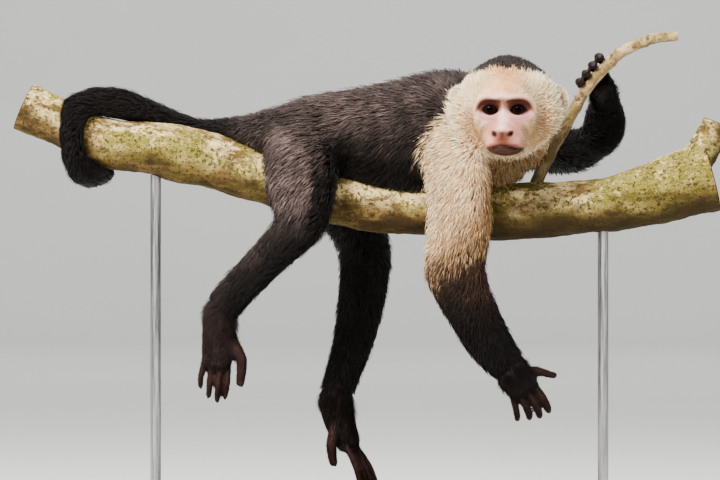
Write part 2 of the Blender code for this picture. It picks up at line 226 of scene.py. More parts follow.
class Finish:
    """A procedural material around one Principled shader."""

    def __init__(self, name, **constants):
        self.material = bpy.data.materials.new(name)
        self.material.use_nodes = True
        self.tree = self.material.node_tree
        self.shader = self.tree.nodes["Principled BSDF"]
        self.set(**constants)

    def join(self, value, socket):
        if isinstance(value, Wire):
            self.tree.links.new(value.socket, socket)
        elif np.ndim(value) and socket.type == "RGBA":
            socket.default_value = (*map(float, linear(value)), 1)
        else:
            socket.default_value = value

    def set(self, **values):
        """Wires or constants for the shader's inputs, with _ in their names for a space."""
        for key, value in values.items():
            self.join(value, self.shader.inputs[key.replace("_", " ")])
        return self

    def node(self, kind, settings=None, inputs=None, output=0):
        """Adds a node: settings first, then the values or wires of its inputs, by name or number."""
        made = self.tree.nodes.new("ShaderNode" + kind)
        for key, value in (settings or {}).items():
            setattr(made, key, value)
        for key, value in (inputs or {}).items():
            self.join(value, made.inputs[key])
        return Wire(self, made.outputs[output])

    def place(self, stretch=(1, 1, 1)):
        """Object coordinates in metres, multiplied by stretch."""
        return self.node("Mapping", {}, {"Vector": self.node("TexCoord", output="Object"), "Scale": stretch})

    def noise(self, scale, detail=3, roughness=0.55, stretch=(1, 1, 1), distortion=0.0):
        values = {"Scale": scale, "Detail": detail, "Roughness": roughness, "Distortion": distortion}
        return self.node("TexNoise", {}, {"Vector": self.place(stretch), **values})

    def range(self, value, low, high, to_low=0.0, to_high=1.0):
        values = {0: value, 1: low, 2: high, 3: to_low, 4: to_high}
        return self.node("MapRange", {"interpolation_type": "SMOOTHSTEP"}, values)

    def mix(self, factor, first, second, kind="MIX"):
        return self.node("Mix", {"data_type": "RGBA", "blend_type": kind}, {0: factor, 6: first, 7: second}, 2)

    def painted(self, colour, *layers):
        """A colour under layers, each a share and a colour."""
        for share, over in layers:
            colour = self.mix(share, colour, over)
        return colour

    def tone(self, name="tone"):
        return self.node("Attribute", {"attribute_name": name}, output="Color")

    def tinted(self, shade):
        """Base Color is the mesh's own tone, darkened and lightened by a shade."""
        grey = self.node("CombineColor", {}, {0: shade, 1: shade, 2: shade})
        return self.set(Base_Color=self.mix(1.0, self.tone(), grey, "MULTIPLY"))

    def relief(self, height, strength, distance):
        """Bump from a height wire; distance is in metres."""
        values = {"Strength": strength, "Distance": distance, "Height": height}
        return self.set(Normal=self.node("Bump", {}, values))


def coat_finish(name, roughness, sheen, specular):
    """Hair: the lock's own tone, made uneven along and between locks."""
    finish = Finish(name, Roughness=roughness, Specular_IOR_Level=specular)
    finish.set(Sheen_Weight=sheen, Sheen_Roughness=0.5)
    streak = finish.noise(900, 2)
    return finish.tinted(finish.range(streak, 0.25, 0.75, 0.78, 1.18)).relief(streak, 0.25, 0.0002)


def skin_finish():
    """Skin: painted tone, pores and fine creases."""
    finish = Finish("capuchin_skin", Specular_IOR_Level=0.12, Subsurface_Weight=0.06)
    finish.set(Subsurface_Radius=(0.004, 0.0015, 0.001))
    pores = finish.noise(1500, 3, 0.6)
    creases = finish.noise(420, 4, 0.6, (1, 1, 1.6))
    finish.tinted(finish.range(finish.noise(130, 3), 0.3, 0.7, 0.9, 1.08))
    finish.set(Roughness=finish.range(pores, 0.3, 0.7, 0.52, 0.74))
    return finish.relief(pores * 0.4 + creases * 0.6, 0.35, 0.0004)


def eye_finish():
    """Wet eye: the iris and pupil are tones, with fine flecks."""
    finish = Finish("wet_eye", Roughness=0.12, Specular_IOR_Level=0.025)
    return finish.tinted(finish.range(finish.noise(1800, 3), 0.3, 0.7, 0.75, 1.2))


def nail_finish():
    """Dark horn with ridges along the nail."""
    finish = Finish("dark_nail", Roughness=0.6, Specular_IOR_Level=0.25)
    ridge = finish.noise(700, 3, 0.5, (1, 1, 0.3))
    colour = finish.mix(finish.range(ridge, 0.35, 0.65), (14, 9, 8), (32, 22, 18))
    return finish.set(Base_Color=colour).relief(ridge, 0.2, 0.0002)


def bark_finish():
    """Tan bark with blotches, olive moss, dark specks and cracks, in painted light paler over its top and in
    painted shade browner below, with painted shadow under the animal's chest and painted shade on the underside of
    its right half. The tone's red is height round the limb, its green the cut wood of the ends."""
    finish = Finish("mossy_bark", Roughness=0.95, Specular_IOR_Level=0.2)
    step = finish.range
    height, cut = (finish.node("SeparateColor", {}, {0: finish.tone()}, k) for k in (0, 1))
    along = finish.node("SeparateXYZ", {}, {0: finish.place()})
    grain = finish.noise(70, 6, 0.65, (0.45, 1, 1))
    patch = finish.noise(26, 4, 0.6)
    speck = finish.noise(330, 3, 0.65)
    fine = finish.noise(900, 3, 0.6)
    blotch = finish.noise(120, 5, 0.7, (0.6, 1, 1), 0.6)
    pale = finish.mix(step(grain, 0.35, 0.62), (112, 84, 44), (220, 194, 134))
    brown = finish.mix(step(grain, 0.35, 0.65), (44, 32, 12), (112, 88, 44))
    moss_tone = finish.mix(step(fine, 0.35, 0.65), (72, 70, 22), (152, 140, 50))
    moss = step(patch * 0.5 + blotch * 0.2 + speck * 0.3 + (finish.noise(9, 2) - 0.5) * 0.4, 0.5, 0.56)
    # painted shadow of the animal's chest on the limb
    chest = step(along, 0.10, 0.125) * step(along, 0.21, 0.17) * step(height, 0.85, 0.55)
    # painted shade on the underside of the limb's right half
    beneath = step(along, -0.02, 0.08) * step(height + (patch - 0.5) * 0.5, 0.42, 0.12)
    cracks = step(grain, 0.44, 0.38) * step(height, 0.95, 0.6)
    chips = step(blotch, 0.42, 0.36) * step(height, 0.3, 0.7)
    rings = finish.node("Math", {"operation": "SINE"}, {0: cut * 95.0 + finish.noise(60, 3) * 7.0})
    wood = finish.mix(step(rings, -0.7, 0.9), (120, 82, 44), (208, 176, 126))
    colour = finish.painted(
        brown,
        # painted light and shade: paler over the top of the limb, browner below
        (step(height + (patch - 0.5) * 0.9, 0.3, 0.66), pale),
        (step(blotch, 0.51, 0.585) * 0.8, (66, 50, 22)),
        (moss * step(height, 0.2, 0.6, 0.2, 0.85), moss_tone),
        (step(speck, 0.54, 0.61) * 0.85, (40, 30, 14)),
        (chest * 0.6, (58, 44, 18)),
        (beneath * 0.75, (34, 26, 8)),
        (cracks * 0.55, (58, 43, 18)),
        (chips * 0.5, (228, 206, 148)),
        (step(cut, 0.2, 0.5), wood),
    )
    return finish.set(Base_Color=colour).relief(grain * 0.5 + speck * 0.3 + fine * 0.2, 0.8, 0.0016)


def twig_finish():
    """Smooth tan-olive twig bark with fine length-wise lines, darker at its joints, and at its foot in painted
    shade.
    """
    finish = Finish("twig_bark", Roughness=0.8, Specular_IOR_Level=0.3)
    step = finish.range
    line = finish.noise(260, 4, 0.6, (0.3, 1, 0.3))
    patch = finish.noise(60, 3)
    rise = finish.node("SeparateXYZ", {}, {0: finish.place()}, 2)
    colour = finish.painted(
        (116, 88, 52),
        (step(line, 0.35, 0.65), (204, 176, 126)),
        (step(patch, 0.5, 0.66) * 0.5, (132, 124, 62)),
        (step(finish.noise(520, 2), 0.56, 0.66) * 0.75, (70, 52, 30)),
        # painted shade on the lower part of the twig
        (step(rise + patch * 0.03, 0.43, 0.36) * 0.75, (50, 36, 10)),
        (finish.tone("joint") * 0.6, (58, 36, 24)),
    )
    return finish.set(Base_Color=colour).relief(line, 0.6, 0.0006)


def stand_wood_finish():
    """Dark waxed hardwood with grain along the base."""
    finish = Finish("waxed_walnut", Coat_Roughness=0.3, Coat_Weight=0.25)
    grain = finish.noise(34, 6, 0.62, (0.35, 3.2, 3.2), 0.6)
    pores = finish.noise(420, 2, 0.5, (0.12, 1.6, 1.6))
    body = finish.mix(finish.range(grain, 0.3, 0.7), (58, 36, 24), (116, 76, 48))
    body = finish.mix(finish.range(pores, 0.58, 0.68) * 0.6, body, (34, 20, 13))
    finish.set(Base_Color=body, Roughness=finish.range(grain, 0.3, 0.7, 0.30, 0.48))
    return finish.relief(pores + grain, 0.25, 0.0003)


def steel_finish():
    """Brushed steel rod with drawn lines along it."""
    finish = Finish("brushed_steel", Metallic=1.0)
    line = finish.noise(600, 3, 0.6, (1, 1, 0.03))
    colour = finish.mix(finish.range(line, 0.3, 0.7), (150, 150, 152), (205, 205, 206))
    finish.set(Base_Color=colour, Roughness=finish.range(line, 0.3, 0.7, 0.24, 0.42))
    return finish.relief(line, 0.1, 0.0001)


def stage_finish():
    """Matt pale grey with faint clouds."""
    finish = Finish("pale_floor", Roughness=0.9, Specular_IOR_Level=0.2)
    colour = finish.mix(finish.noise(1.5, 2), np.array([0.60, 0.61, 0.60]), np.array([0.66, 0.67, 0.66]))
    return finish.set(Base_Color=colour)


# --------------------------------------------------------------------------- meshes


def put_mesh(name, points, faces, finish=None, tone=None, slot=None, tone_name="tone", sizes=None):
    """An object from points in mm and faces: rows of corners, or with sizes, the corners one after another and
    each face's corner count."""
    if sizes is None:
        sizes = np.full(len(faces), faces.shape[1])
    mesh = bpy.data.meshes.new(name)
    mesh.vertices.add(len(points))
    mesh.vertices.foreach_set("co", (np.asarray(points, np.float32) * MM).ravel())
    mesh.loops.add(faces.size)
    mesh.loops.foreach_set("vertex_index", faces.ravel().astype(np.int32))
    mesh.polygons.add(len(sizes))
    starts = np.concatenate([[0], np.cumsum(sizes)[:-1]]).astype(np.int32)
    mesh.polygons.foreach_set("loop_start", starts)
    mesh.update(calc_edges=True)
    mesh.shade_smooth()
    obj = bpy.data.objects.new(name, mesh)
    bpy.context.scene.collection.objects.link(obj)
    if finish:
        mesh.materials.append(finish.material)
    if tone is not None:
        layer = mesh.color_attributes.new(tone_name, "FLOAT_COLOR", "POINT")
        layer.data.foreach_set("color", np.column_stack([tone, np.ones(len(tone))]).astype(np.float32).ravel())
    if slot:
        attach(obj, "root")
    return obj


def drop(obj):
    mesh = obj.data
    bpy.data.objects.remove(obj, do_unlink=True)
    bpy.data.meshes.remove(mesh)


def circle(columns):
    """Angles of points spread evenly round a ring."""
    return 2 * math.pi * np.arange(columns) / columns


def rings(centre, right, up, columns):
    """Ellipses: to each row's centre are added right times the cosine and up times the sine of the angle."""
    turn = circle(columns)[None, :, None]
    return centre[:, None] + right[:, None] * np.cos(turn) + up[:, None] * np.sin(turn)


def grid_quads(rows, columns, wrap=True):
    """Corners of a grid of rows by columns, whose columns close round when wrap is set."""
    index = np.arange(rows * columns).reshape(rows, columns)
    right = np.roll(index, -1, axis=1)
    if not wrap:
        index, right = index[:, :-1], right[:, :-1]
    return np.stack([index[:-1], right[:-1], right[1:], index[1:]], axis=-1).reshape(-1, 4)


def outward_quads(points, quads):
    """The quads turned round if the closed surface encloses a negative volume."""
    a, b, c = points[triangles_of(quads)].swapaxes(0, 1)
    return quads if (a * np.cross(b, c)).sum() > 0 else quads[:, ::-1]


def joined(parts):
    """Meshes, each its points and faces, as one."""
    starts = np.cumsum([0] + [len(part[0]) for part in parts])
    faces = [part[1] + start for part, start in zip(parts, starts)]
    return np.vstack([part[0] for part in parts]), np.vstack(faces)


def read(items, key, kind=np.int32, width=1):
    """A property of all of a mesh's vertices, loops or faces as an array."""
    values = np.empty(len(items) * width, kind)
    items.foreach_get(key, values)
    return values.reshape(-1, width) if width > 1 else values


def mesh_arrays(mesh):
    """A mesh's points in mm and its faces as rows of four corners, the last repeated in a triangle."""
    corners = read(mesh.loops, "vertex_index")
    start, total = (read(mesh.polygons, key) for key in ("loop_start", "loop_total"))
    faces = np.stack([corners[start + np.minimum(k, total - 1)] for k in range(4)], axis=1)
    return read(mesh.vertices, "co", np.float32, 3).astype(float) / MM, faces


def triangles_of(faces):
    """Each row of four corners as one or two triangles."""
    first, second = faces[:, [0, 1, 2]], faces[:, [0, 2, 3]]
    return np.concatenate([first, second[faces[:, 2] != faces[:, 3]]])


def at_corners(values, triangles, count):
    """Vectors of the triangles added up at their three corners."""
    total = np.zeros((count, 3))
    for k in range(3):
        for axis in range(3):
            total[:, axis] += np.bincount(triangles[:, k], values[:, axis], count)
    return total


def vertex_normals(points, triangles):
    """Outward unit normals: each triangle's cross product added to its three corners."""
    a, b, c = points[triangles].swapaxes(0, 1)
    return unit(at_corners(np.cross(b - a, c - a), triangles, len(points)))


def surface_tree(points, triangles):
    return BVHTree.FromPolygons(points.tolist(), triangles.tolist())


def nearest(tree, points):
    """For each point, the nearest place on a surface, its normal, the triangle's number and the distance."""
    found = np.array([(*hit[0], *hit[1], *hit[2:]) for hit in map(tree.find_nearest, points.tolist())])
    return found[:, :3], found[:, 3:6], found[:, 6].astype(int), found[:, 7]


def node_solid(name):
    """A CAD node's welded points in mm and its triangles."""
    points, faces = mesh_arrays(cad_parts[name].data)
    _, first, index = np.unique(np.round(points, 3), axis=0, return_index=True, return_inverse=True)
    return points[first], index.reshape(-1)[faces[:, :3]]


def join_solids(names, grow):
    """All the nodes' triangles in one list, each node swollen by grow, with the number of the node of each."""
    solids = [node_solid(name) for name in names]
    owner = np.repeat(np.arange(len(names)), [len(corners) for _, corners in solids])
    swollen = [(where + vertex_normals(where, corners) * grow, corners) for where, corners in solids]
    return *joined(swollen), owner


def voxel_object(points, triangles, voxel):
    """A working object: the outer surface of overlapping solids as even quads, by Blender's voxel remesh."""
    obj = put_mesh("working", points, triangles)
    modifier = obj.modifiers.new("voxels", "REMESH")
    modifier.mode = "VOXEL"
    modifier.voxel_size = voxel * MM
    bpy.context.view_layer.objects.active = obj
    obj.select_set(True)
    bpy.ops.object.modifier_apply(modifier=modifier.name)
    return obj


def remeshed(points, triangles, voxel):
    """The largest piece of the solids' outer surface: each vertex takes the lowest number among its neighbours
    until none changes, and the commonest number is kept."""
    obj = voxel_object(points, triangles, voxel)
    where, faces = mesh_arrays(obj.data)
    drop(obj)
    label, new = None, np.arange(len(where))
    while label is None or (new != label).any():
        label, new = new, new.copy()
        np.minimum.at(new, faces.ravel(), np.repeat(label[faces].min(axis=1), 4))
        new = new[new]
    faces = faces[label[faces[:, 0]] == np.bincount(label).argmax()]
    used, index = np.unique(faces, return_inverse=True)
    return where[used], index.reshape(-1, 4)


class Shell:
    """A closed surface and its vertex links, for smoothing and for distances along it."""

    def __init__(self, points, faces):
        self.points, self.faces = points, faces
        self.triangles = triangles_of(faces)
        pairs = np.vstack([faces[:, [a, b]] for a, b in ((0, 1), (1, 2), (2, 3), (3, 0), (0, 2), (1, 3))])
        pairs = pairs[pairs[:, 0] != pairs[:, 1]]
        pairs = np.unique(np.vstack([pairs, pairs[:, ::-1]]), axis=0)
        self.near, self.far = pairs[:, 0], pairs[:, 1]
        self.first = np.flatnonzero(np.r_[True, self.near[1:] != self.near[:-1]])
        self.count = np.diff(np.r_[self.first, len(self.near)])

    def normals(self):
        return vertex_normals(self.points, self.triangles)

    def smooth(self, field, times, share=0.6):
        """Each value moved towards the mean of its neighbours, a number of times."""
        field = np.asarray(field, float)
        flat = field.reshape(len(field), -1)
        for _ in range(times):
            mean = np.add.reduceat(flat[self.far], self.first, axis=0) / self.count[:, None]
            flat = flat + (mean - flat) * share
        return flat.reshape(field.shape)

    def round_off(self, times):
        """Irons out facets without shrinking: each smoothing step is followed by a slightly larger step back."""
        for _ in range(times):
            self.points = self.smooth(self.points, 1, 0.5)
            self.points = self.smooth(self.points, 1, -0.52)

    def distance_from(self, start):
        """Shortest way along the links from the start vertices, relaxing all the links at once until still."""
        step = np.linalg.norm(self.points[self.near] - self.points[self.far], axis=1)
        reach = np.full(len(self.points), 1e4)
        reach[start] = 0
        for _ in range(2000):
            best = np.minimum.reduceat(reach[self.far] + step, self.first)
            if (best >= reach).all():
                break
            reach = np.minimum(reach, best)
        return reach

    def slope(self, height):
        """Direction in which a height over the surface grows, at each vertex."""
        a, b, c = self.points[self.triangles].swapaxes(0, 1)
        ha, hb, hc = height[self.triangles].T[:, :, None]
        normal = np.cross(b - a, c - a)
        area = np.maximum((normal**2).sum(axis=1), 1e-9)[:, None]
        grade = (ha * np.cross(normal, c - b) + hb * np.cross(normal, a - c) + hc * np.cross(normal, b - a)) / area
        return unit(at_corners(grade, self.triangles, len(self.points)))


# --------------------------------------------------------------------------- the head


def head_axes():
    """The head's right, up and forward directions as columns."""
    yaw, pitch = -math.radians(HEAD_YAW), math.radians(HEAD_PITCH)
    turn = np.array([[math.cos(yaw), -math.sin(yaw), 0], [math.sin(yaw), math.cos(yaw), 0], [0, 0, 1]])
    nod = np.array([[1, 0, 0], [0, math.cos(pitch), -math.sin(pitch)], [0, math.sin(pitch), math.cos(pitch)]])
    return turn @ nod @ np.array([[1.0, 0, 0], [0, 0, -1], [0, 1, 0]])


AXES = head_axes()


def to_head(points):
    return (points - HEAD_CENTRE) @ AXES


def from_head(local):
    return np.asarray(local) @ AXES.T + HEAD_CENTRE


def forms_radius(directions):
    """Distance from the head's centre out to a smooth union of its ellipsoids, less the two sockets."""
    total = np.zeros(len(directions))
    for centre, half in HEAD_FORMS.values():
        scaled = directions / np.array(half)
        offset = np.array(centre) / np.array(half)
        a = (scaled**2).sum(axis=1)
        b = scaled @ offset
        inside = np.maximum(b**2 - a * (offset @ offset - 1), 0)
        total += (np.maximum((b + np.sqrt(inside)) / a, 1) * (inside > 0)) ** FORM_BLEND
    radius = total ** (1 / FORM_BLEND)
    local = directions * radius[:, None]
    for side in (-1, 1):
        wide = (local[:, 0] - side * EYE_PLACE[0]) / SOCKET[0]
        high = (local[:, 1] - EYE_PLACE[1]) / SOCKET[1]
        radius = radius - SOCKET[2] * (local[:, 2] > 0) * np.exp(-((wide**2 + high**2) ** 1.5))
    return radius


def head_depth(local):
    """Coat depth over the head: 0.5 mm in an oval round the face, 3.3 mm on the crown, 7.5 mm in the ruff."""
    u, v, w = local.T
    edge = np.maximum(ease(oval(u, v, 34, -8, 38), 0.78, 1.25), ease(w, 12, -4))
    crown = ease(v, 8, 30)
    return 0.5 + edge * (7.0 * (1 - crown) + 2.8 * crown)


def above_mouth(u, v):
    """Height over the line between the lips, which falls towards the corners."""
    return v - (-34.6 - 3.2 * (np.abs(u) / 17) ** 1.5)


def nostril(u, v):
    """Squared distance from the middle of the nearer nostril, 1 at its edge: a comma that opens outward."""
    across = np.abs(u + 0.3) - 7.7
    up = v + 23.9
    return (across / 2.8) ** 2 + ((up - 0.35 * across) / 2.4) ** 2


def lid_half(across, up, least=0.0):
    """Half height of the opening between the lids, from the share of its half width, above or below its line."""
    half = EYE_OPENING[1] * np.maximum(1 - across**2, least) ** 0.75
    return np.where(up > 0, half, half * LOWER_LID)


def almond(u, v, side):
    """Below 1 inside the opening between the lids, whose outer corner is a little higher than the inner."""
    across = (u - side * EYE_PLACE[0]) / EYE_OPENING[0]
    up = v - EYE_PLACE[1] - 0.6 * across * side
    return np.maximum(np.abs(up) / lid_half(across, up, 0.02), np.abs(across))


def muzzle_ring(u, v):
    """Distance from the middle of the muzzle, 1 along the crease that parts it from the cheeks."""
    return oval(u, v, 21.5, -27.5, 16)


def smile_fold(far, v):
    """Distance outward from the fold that runs from beside the nose down past the mouth."""
    return far - (12.5 + 0.45 * (-20 - v))


def face_radius(directions):
    """Distance from the head's centre to the face's skin: the forms less the coat, with the brow ledge, nose
    bridge, nostrils, lips and bags as bell curves across the face, and lids that lie on the eyeballs."""
    radius = forms_radius(directions)
    local = directions * radius[:, None]
    u, v, w = local.T
    far = np.abs(u)
    mouth = above_mouth(u, v)
    lips = ease(far, 20, 15)
    ring = muzzle_ring(u, v)
    bag = v + 9.6 - 0.012 * (far - 14) ** 2
    relief = (
        1.9 * bump(v, 8.2 - 0.011 * far**2, 2.6) * span(far, 1, 6, 20, 27)  # brow ledge
        - 0.9 * bump(u, 0, 1.2) * bump(v, 7, 3.5)  # dent between the brows
        + 1.0 * bump(u, 0, 3.4) * span(v, -24, -16, 0, 7)  # bridge of the nose
        + 1.1 * bump(far, 7.6, 3.4) * bump(v, -20.8, 2.6)  # wings of the nose, and their outer rims
        + 0.8 * bump(far, 10.8, 1.6) * bump(v, -23.5, 2.8)
        - 4.4 * np.exp(-(nostril(u, v) ** 1.3))  # nostrils
        - 0.6 * bump(u, 0, 1.4) * bump(v, -28.5, 3)  # groove under the nose
        - 1.9 * bump(mouth, 0, 0.95) * lips  # line between the lips
        + 0.9 * bump(mouth, 3.0, 2.2) * lips  # upper lip
        + 1.1 * bump(mouth, -2.8, 2.0) * ease(far, 15, 9)  # lower lip
        - 0.8 * bump(mouth, -7.0, 1.8) * ease(far, 14, 9)  # dent over the chin
        - 1.1 * bump(ring, 1.03, 0.1) * ease(v, -12, -19)  # crease round the muzzle, and the swelling in it
        + 0.8 * bump(ring, 0.78, 0.16) * ease(v, -12, -19)
        - 0.45 * bump(smile_fold(far, v), 0, 2.6) * span(v, -36, -30, -20, -14)  # fold past the mouth
        - 0.7 * bump(bag, 0, 1.1) * span(far, 5, 9, 18, 24)  # crease under the eye and its bag
        + 0.6 * bump(bag, -3.0, 2.2) * span(far, 6, 10, 18, 24)
    )
    skin = radius - head_depth(local) + relief * ease(w, 5, 14)
    for side in (-1, 1):
        centre = EYE_PLACE * (side, 1, 1)
        b = directions @ centre
        reach = b**2 - centre @ centre + LID_RADIUS**2
        lid = np.where(reach > 0, b + np.sqrt(np.maximum(reach, 0)), 0)
        lid_point = directions * lid[:, None]
        inside = ease(almond(lid_point[:, 0], lid_point[:, 1], side), 1.06, 0.94)
        near = (reach > 0) & (lid_point[:, 2] > EYE_PLACE[2])
        soft = skin + np.log1p(np.exp(np.clip((lid - skin) / 0.6, -30, 30))) * 0.6
        raised = np.maximum(np.maximum(skin, lid), soft)
        skin = np.where(near, raised * (1 - inside) + (lid - 3.4) * inside, skin)
    return skin


# --------------------------------------------------------------------------- markings


def bare_share(local):
    """1 where the face has no fur: round the eyes, down the nose and over the muzzle."""
    u, v, w = local.T
    far = np.abs(u)
    eyes = ease(oval(far - 13, v, 15, -1.0, 12.5), 1.08, 0.8)
    muzzle = ease(oval(u, v, 21, -28.5, 16), 1.1, 0.85)
    nose = ease(far, 11, 7) * span(v, -38, -30, 4, 10)
    return np.maximum(np.maximum(eyes, muzzle), nose)


def face_tones(local):
    """Skin colours of the face, in layers whose shares are bells and steps of height and distance off the
    middle line. Painted highlights lie on the bridge of the nose and beside it, and painted shade on the sides of
    the nose, in the sockets, the furrow between the brows, the creases and folds, in the nostrils, under the nose
    and in the line of the mouth."""
    u, v, w = local.T
    far = np.abs(u)
    mouth = above_mouth(u, v)
    hollow = oval(far - 14.4, v, 13.4, 1.2, 8.2)
    bags = bump(v, -10.0 + 0.010 * (far - 8) ** 2, 4.8) * span(far, 5, 10, 20, 30)
    crease = bump(v, -11.6 + 0.016 * (far - 8) ** 2, 1.2) * span(far, 4, 8, 23, 29)
    ledge = bump(v, 6.4 - 0.065 * np.maximum(far - 15, 0) ** 2 - 0.9 * bump(far, 3, 3), 2.6) * ease(far, 30, 25)
    jowl = bump(far, 25 + 0.2 * (v + 20), 5.5) * span(v, -38, -30, -17, -10)
    fold = bump(smile_fold(far, v), 0, 2.2) * span(v, -37, -30, -20, -14)
    groove = bump(far, 32 - 0.01 * (v + 8) ** 2, 3.2) * span(v, -30, -16, 0, 12)
    return painted(
        FACE_SKIN,
        (1 - bare_share(local), blend(0.6, FACE_SKIN, CREAM)),
        (ease(oval(u, v, 24, -25, 16), 1.15, 0.75) * 0.8, MUZZLE_SKIN),
        # painted highlight down the bridge of the nose
        (bump(u, 0, 5) * span(v, -26, -18, -2, 8) * 0.8, (248, 204, 194)),  # bridge of the nose
        # painted shade on the sides of the nose
        (bump(far, 6.8, 2.2) * span(v, -16, -9, 1, 7) * 0.45, (176, 112, 104)),  # its sides
        (bags * 0.8, BAG_SKIN),
        # painted shade in the crease under each eye
        (crease * 0.3, (132, 76, 78)),
        (bump(v, 12, 3.5) * ease(far, 28, 20) * 0.5, (232, 176, 160)),  # brow
        # the sockets: partly the dark skin round the eyes, partly painted shade, darkest over the upper half under
        # the brow
        (ease(hollow, 1.2, 0.66) * 0.96 * (0.3 + 0.7 * ease(v, -8, -3)), SOCKET_SKIN_AND_SHADE),
        (ease(far, 8, 3) * span(v, -4, 3, 8, 11) * 0.55, (132, 82, 68)),  # between the eyes
        # painted shade, deepest in the hollow next to the eye
        (ease(hollow, 0.9, 0.6) * 0.45, (62, 30, 24)),
        (ledge * (0.5 + 0.42 * ease(far, 1, 4)), (50, 20, 8)),
        # painted shade in the furrow between the brows
        (bump(u, 0.6, 1.1) * bump(v, 3.0, 5) * 0.7, (96, 52, 42)),  # furrow between the brows
        # dark brown from the nose down to the lip: partly the skin's own brown, partly painted shadow of the nose
        (bump(u, 0, 6.6) * span(v, -36, -32, -23, -19), (60, 27, 14)),  # between the nostrils
        (bump(u, 0, 9.0) * bump(v, -28.6, 4.2) * 0.75, (104, 54, 34)),
        (bump(far, 13.5, 4.5) * bump(v, -28, 4.0) * 0.6, (246, 196, 172)),  # lit swelling beside the nose
        (bump(far, 7.6, 4.0) * bump(v, -24.0, 3.2) * 0.7, (150, 92, 78)),  # wings of the nose
        # painted shade in the crease round the muzzle
        (bump(muzzle_ring(u, v), 1.04, 0.16) * ease(v, -12, -20) * 0.9, (112, 72, 40)),
        (jowl * 0.7, (184, 138, 88)),
        # painted shade inside the nostrils
        (np.exp(-((nostril(u, v) / 1.25) ** 2)), (14, 7, 6)),
        (span(mouth, -13, -9, -0.6, 1.2) * ease(far, 21, 16) * 0.95, LIP_SKIN),
        (bump(mouth, 1.9, 2.4) * ease(far, 19, 12) * 0.8, (98, 52, 34)),  # upper lip and the line of the mouth
        # painted shade in the line between the lips
        (bump(mouth, -0.6, 1.7) * ease(far, 20.5, 16.5), (20, 8, 5)),
        # painted shade in the fold past the mouth
        (fold * 0.3, FOLD_SHADE),
        (groove * 0.45, (178, 134, 104)),
    )


def head_fur(local):
    """Pale tone, dark tone and the share of the pale: cream face and ruff, whiter at the rim, and the black
    cap, whose edge falls towards the nape."""
    u, v, w = local.T
    far = np.abs(u)
    cheek = bump(far, 25, 7) * span(v, -40, -32, -14, -4) * ease(w, 4, 12)
    groove = bump(far, 31, 2.6) * span(v, -36, -26, -6, 3) * ease(w, 0, 8)
    pale = painted(
        CREAM,
        (ease(oval(u, v, 44, -6, 42), 0.85, 1.05) * 0.7, WHITE_FUR),  # rim of the ruff
        (bump(u, 0, 16) * ease(v, 6, 16) * 0.85, FOREHEAD),
        (cheek * 0.9, TAN_FUR),
        (ease(far, 30, 14) * bump(v, -49, 8) * ease(w, -8, 4) * 0.8, (150, 114, 64)),  # beard
        (groove * 0.55, (168, 122, 78)),
        (bump(u, 0, 5) * bump(v, 22, 8) * 0.35, (236, 172, 128)),  # parting of the forehead
        (ease(far, 22, 14) * bump(v, -43.0, 5.2) * ease(w, 8, 18) * 0.92, (88, 52, 24)),  # chin
    )
    edge = 33.5 - 13.5 * (far / 45) ** 2 - 0.85 * np.maximum(-4 - w, 0)
    saw = 1.6 * ripple(local, 7, 31) + 1.1 * ripple(local, 3.2, 32)
    return pale, CAP_FUR, ease(v - edge + saw, 2.2, -2.2)


def body_tones(points, normals, share):
    """Pale tone, dark tone and the share of the pale. The black coat takes a painted sheen where it faces the key
    light, on the back, hips and near leg. The cream of the throat and shoulders ends in a ragged line across the
    chest, leaning back towards the nape, and fades through gold to black round the near elbow; the gold reaches
    higher on the side turned from the key light, in painted shade, and painted shade darkens the throat under the
    chin to olive brown. The far arm is pale only on its outer side."""
    x, y, z = points.T
    east = normals[:, 0]
    ragged = 5 * ripple(points, 34, 41) + 2.5 * ripple(points, 11, 42)
    lower = z + 0.8 * ragged
    # painted sheen: the black coat lightens towards SHEEN_FUR where it faces the key light, on the trunk, near
    # thigh and shank, most on the front of the near thigh
    lit = ease(normals @ np.array([-0.38, -0.5, 0.78]), 0.05, 1.0) * share["sheen"]
    flank = ease(normals @ np.array([-0.3, -0.92, 0.25]), 0.45, 1.0) * share["thigh"] * ease(z, 250, 330)
    lit = np.maximum(lit, 2.2 * flank)
    lit = np.clip(lit * (0.75 + 0.35 * ripple(points, 30, 43) + 0.2 * ripple(points, 9, 45)), 0, 2)
    dark = painted(
        BLACK_FUR + (SHEEN_FUR - BLACK_FUR) * lit[:, None],
        (share["near_arm"] * bump(lower, 244, 28) * 0.5, (74, 52, 40)),
    )
    past_line = ease(x + ragged - (66 + 34 * ease(z, 350, 400)), -8, 8)
    below = share["near_arm"] * (1 - ease(lower - 14 * east, 222, 286))
    chest = past_line * share["front"] * (1 - ease(y + 0.4 * (x - 128) + ragged, 8, 30)) * (1 - below)
    near = (share["near_arm"] - below) * ease(x + ragged, 52, 64)
    outer = ease(normals @ np.array([-0.55, 0.7, 0.45]), 0.0, 0.5) * ease(x, 205, 165)
    far = np.maximum(share["far_arm"], share["front"] * ease(y, 0, 20) * past_line) * outer
    pale = painted(
        CREAM,
        (np.clip(0.3 + 0.45 * ripple(points, 15, 44), 0, 0.85) * 0.5, TAN_FUR),
        # the gold round the near elbow is the coat's own; its reaching higher on the side turned from the key
        # light is painted shade
        (ease(lower - 42 * east, 322, 256) * 0.85, GOLD_FUR),
        (share["near_arm"] * ease(east, 0.1, 0.9) * ease(y, -70, -40) * 0.55, GOLD_FUR),  # shaded side
        # painted shade under the chin: the throat darkened to olive brown
        (ease(x, 98, 122) * ease(z, 366, 348) * 0.9, THROAT_SHADE),  # throat
    )
    return pale, dark, np.maximum(np.maximum(chest, near), far)


# --------------------------------------------------------------------------- the skin

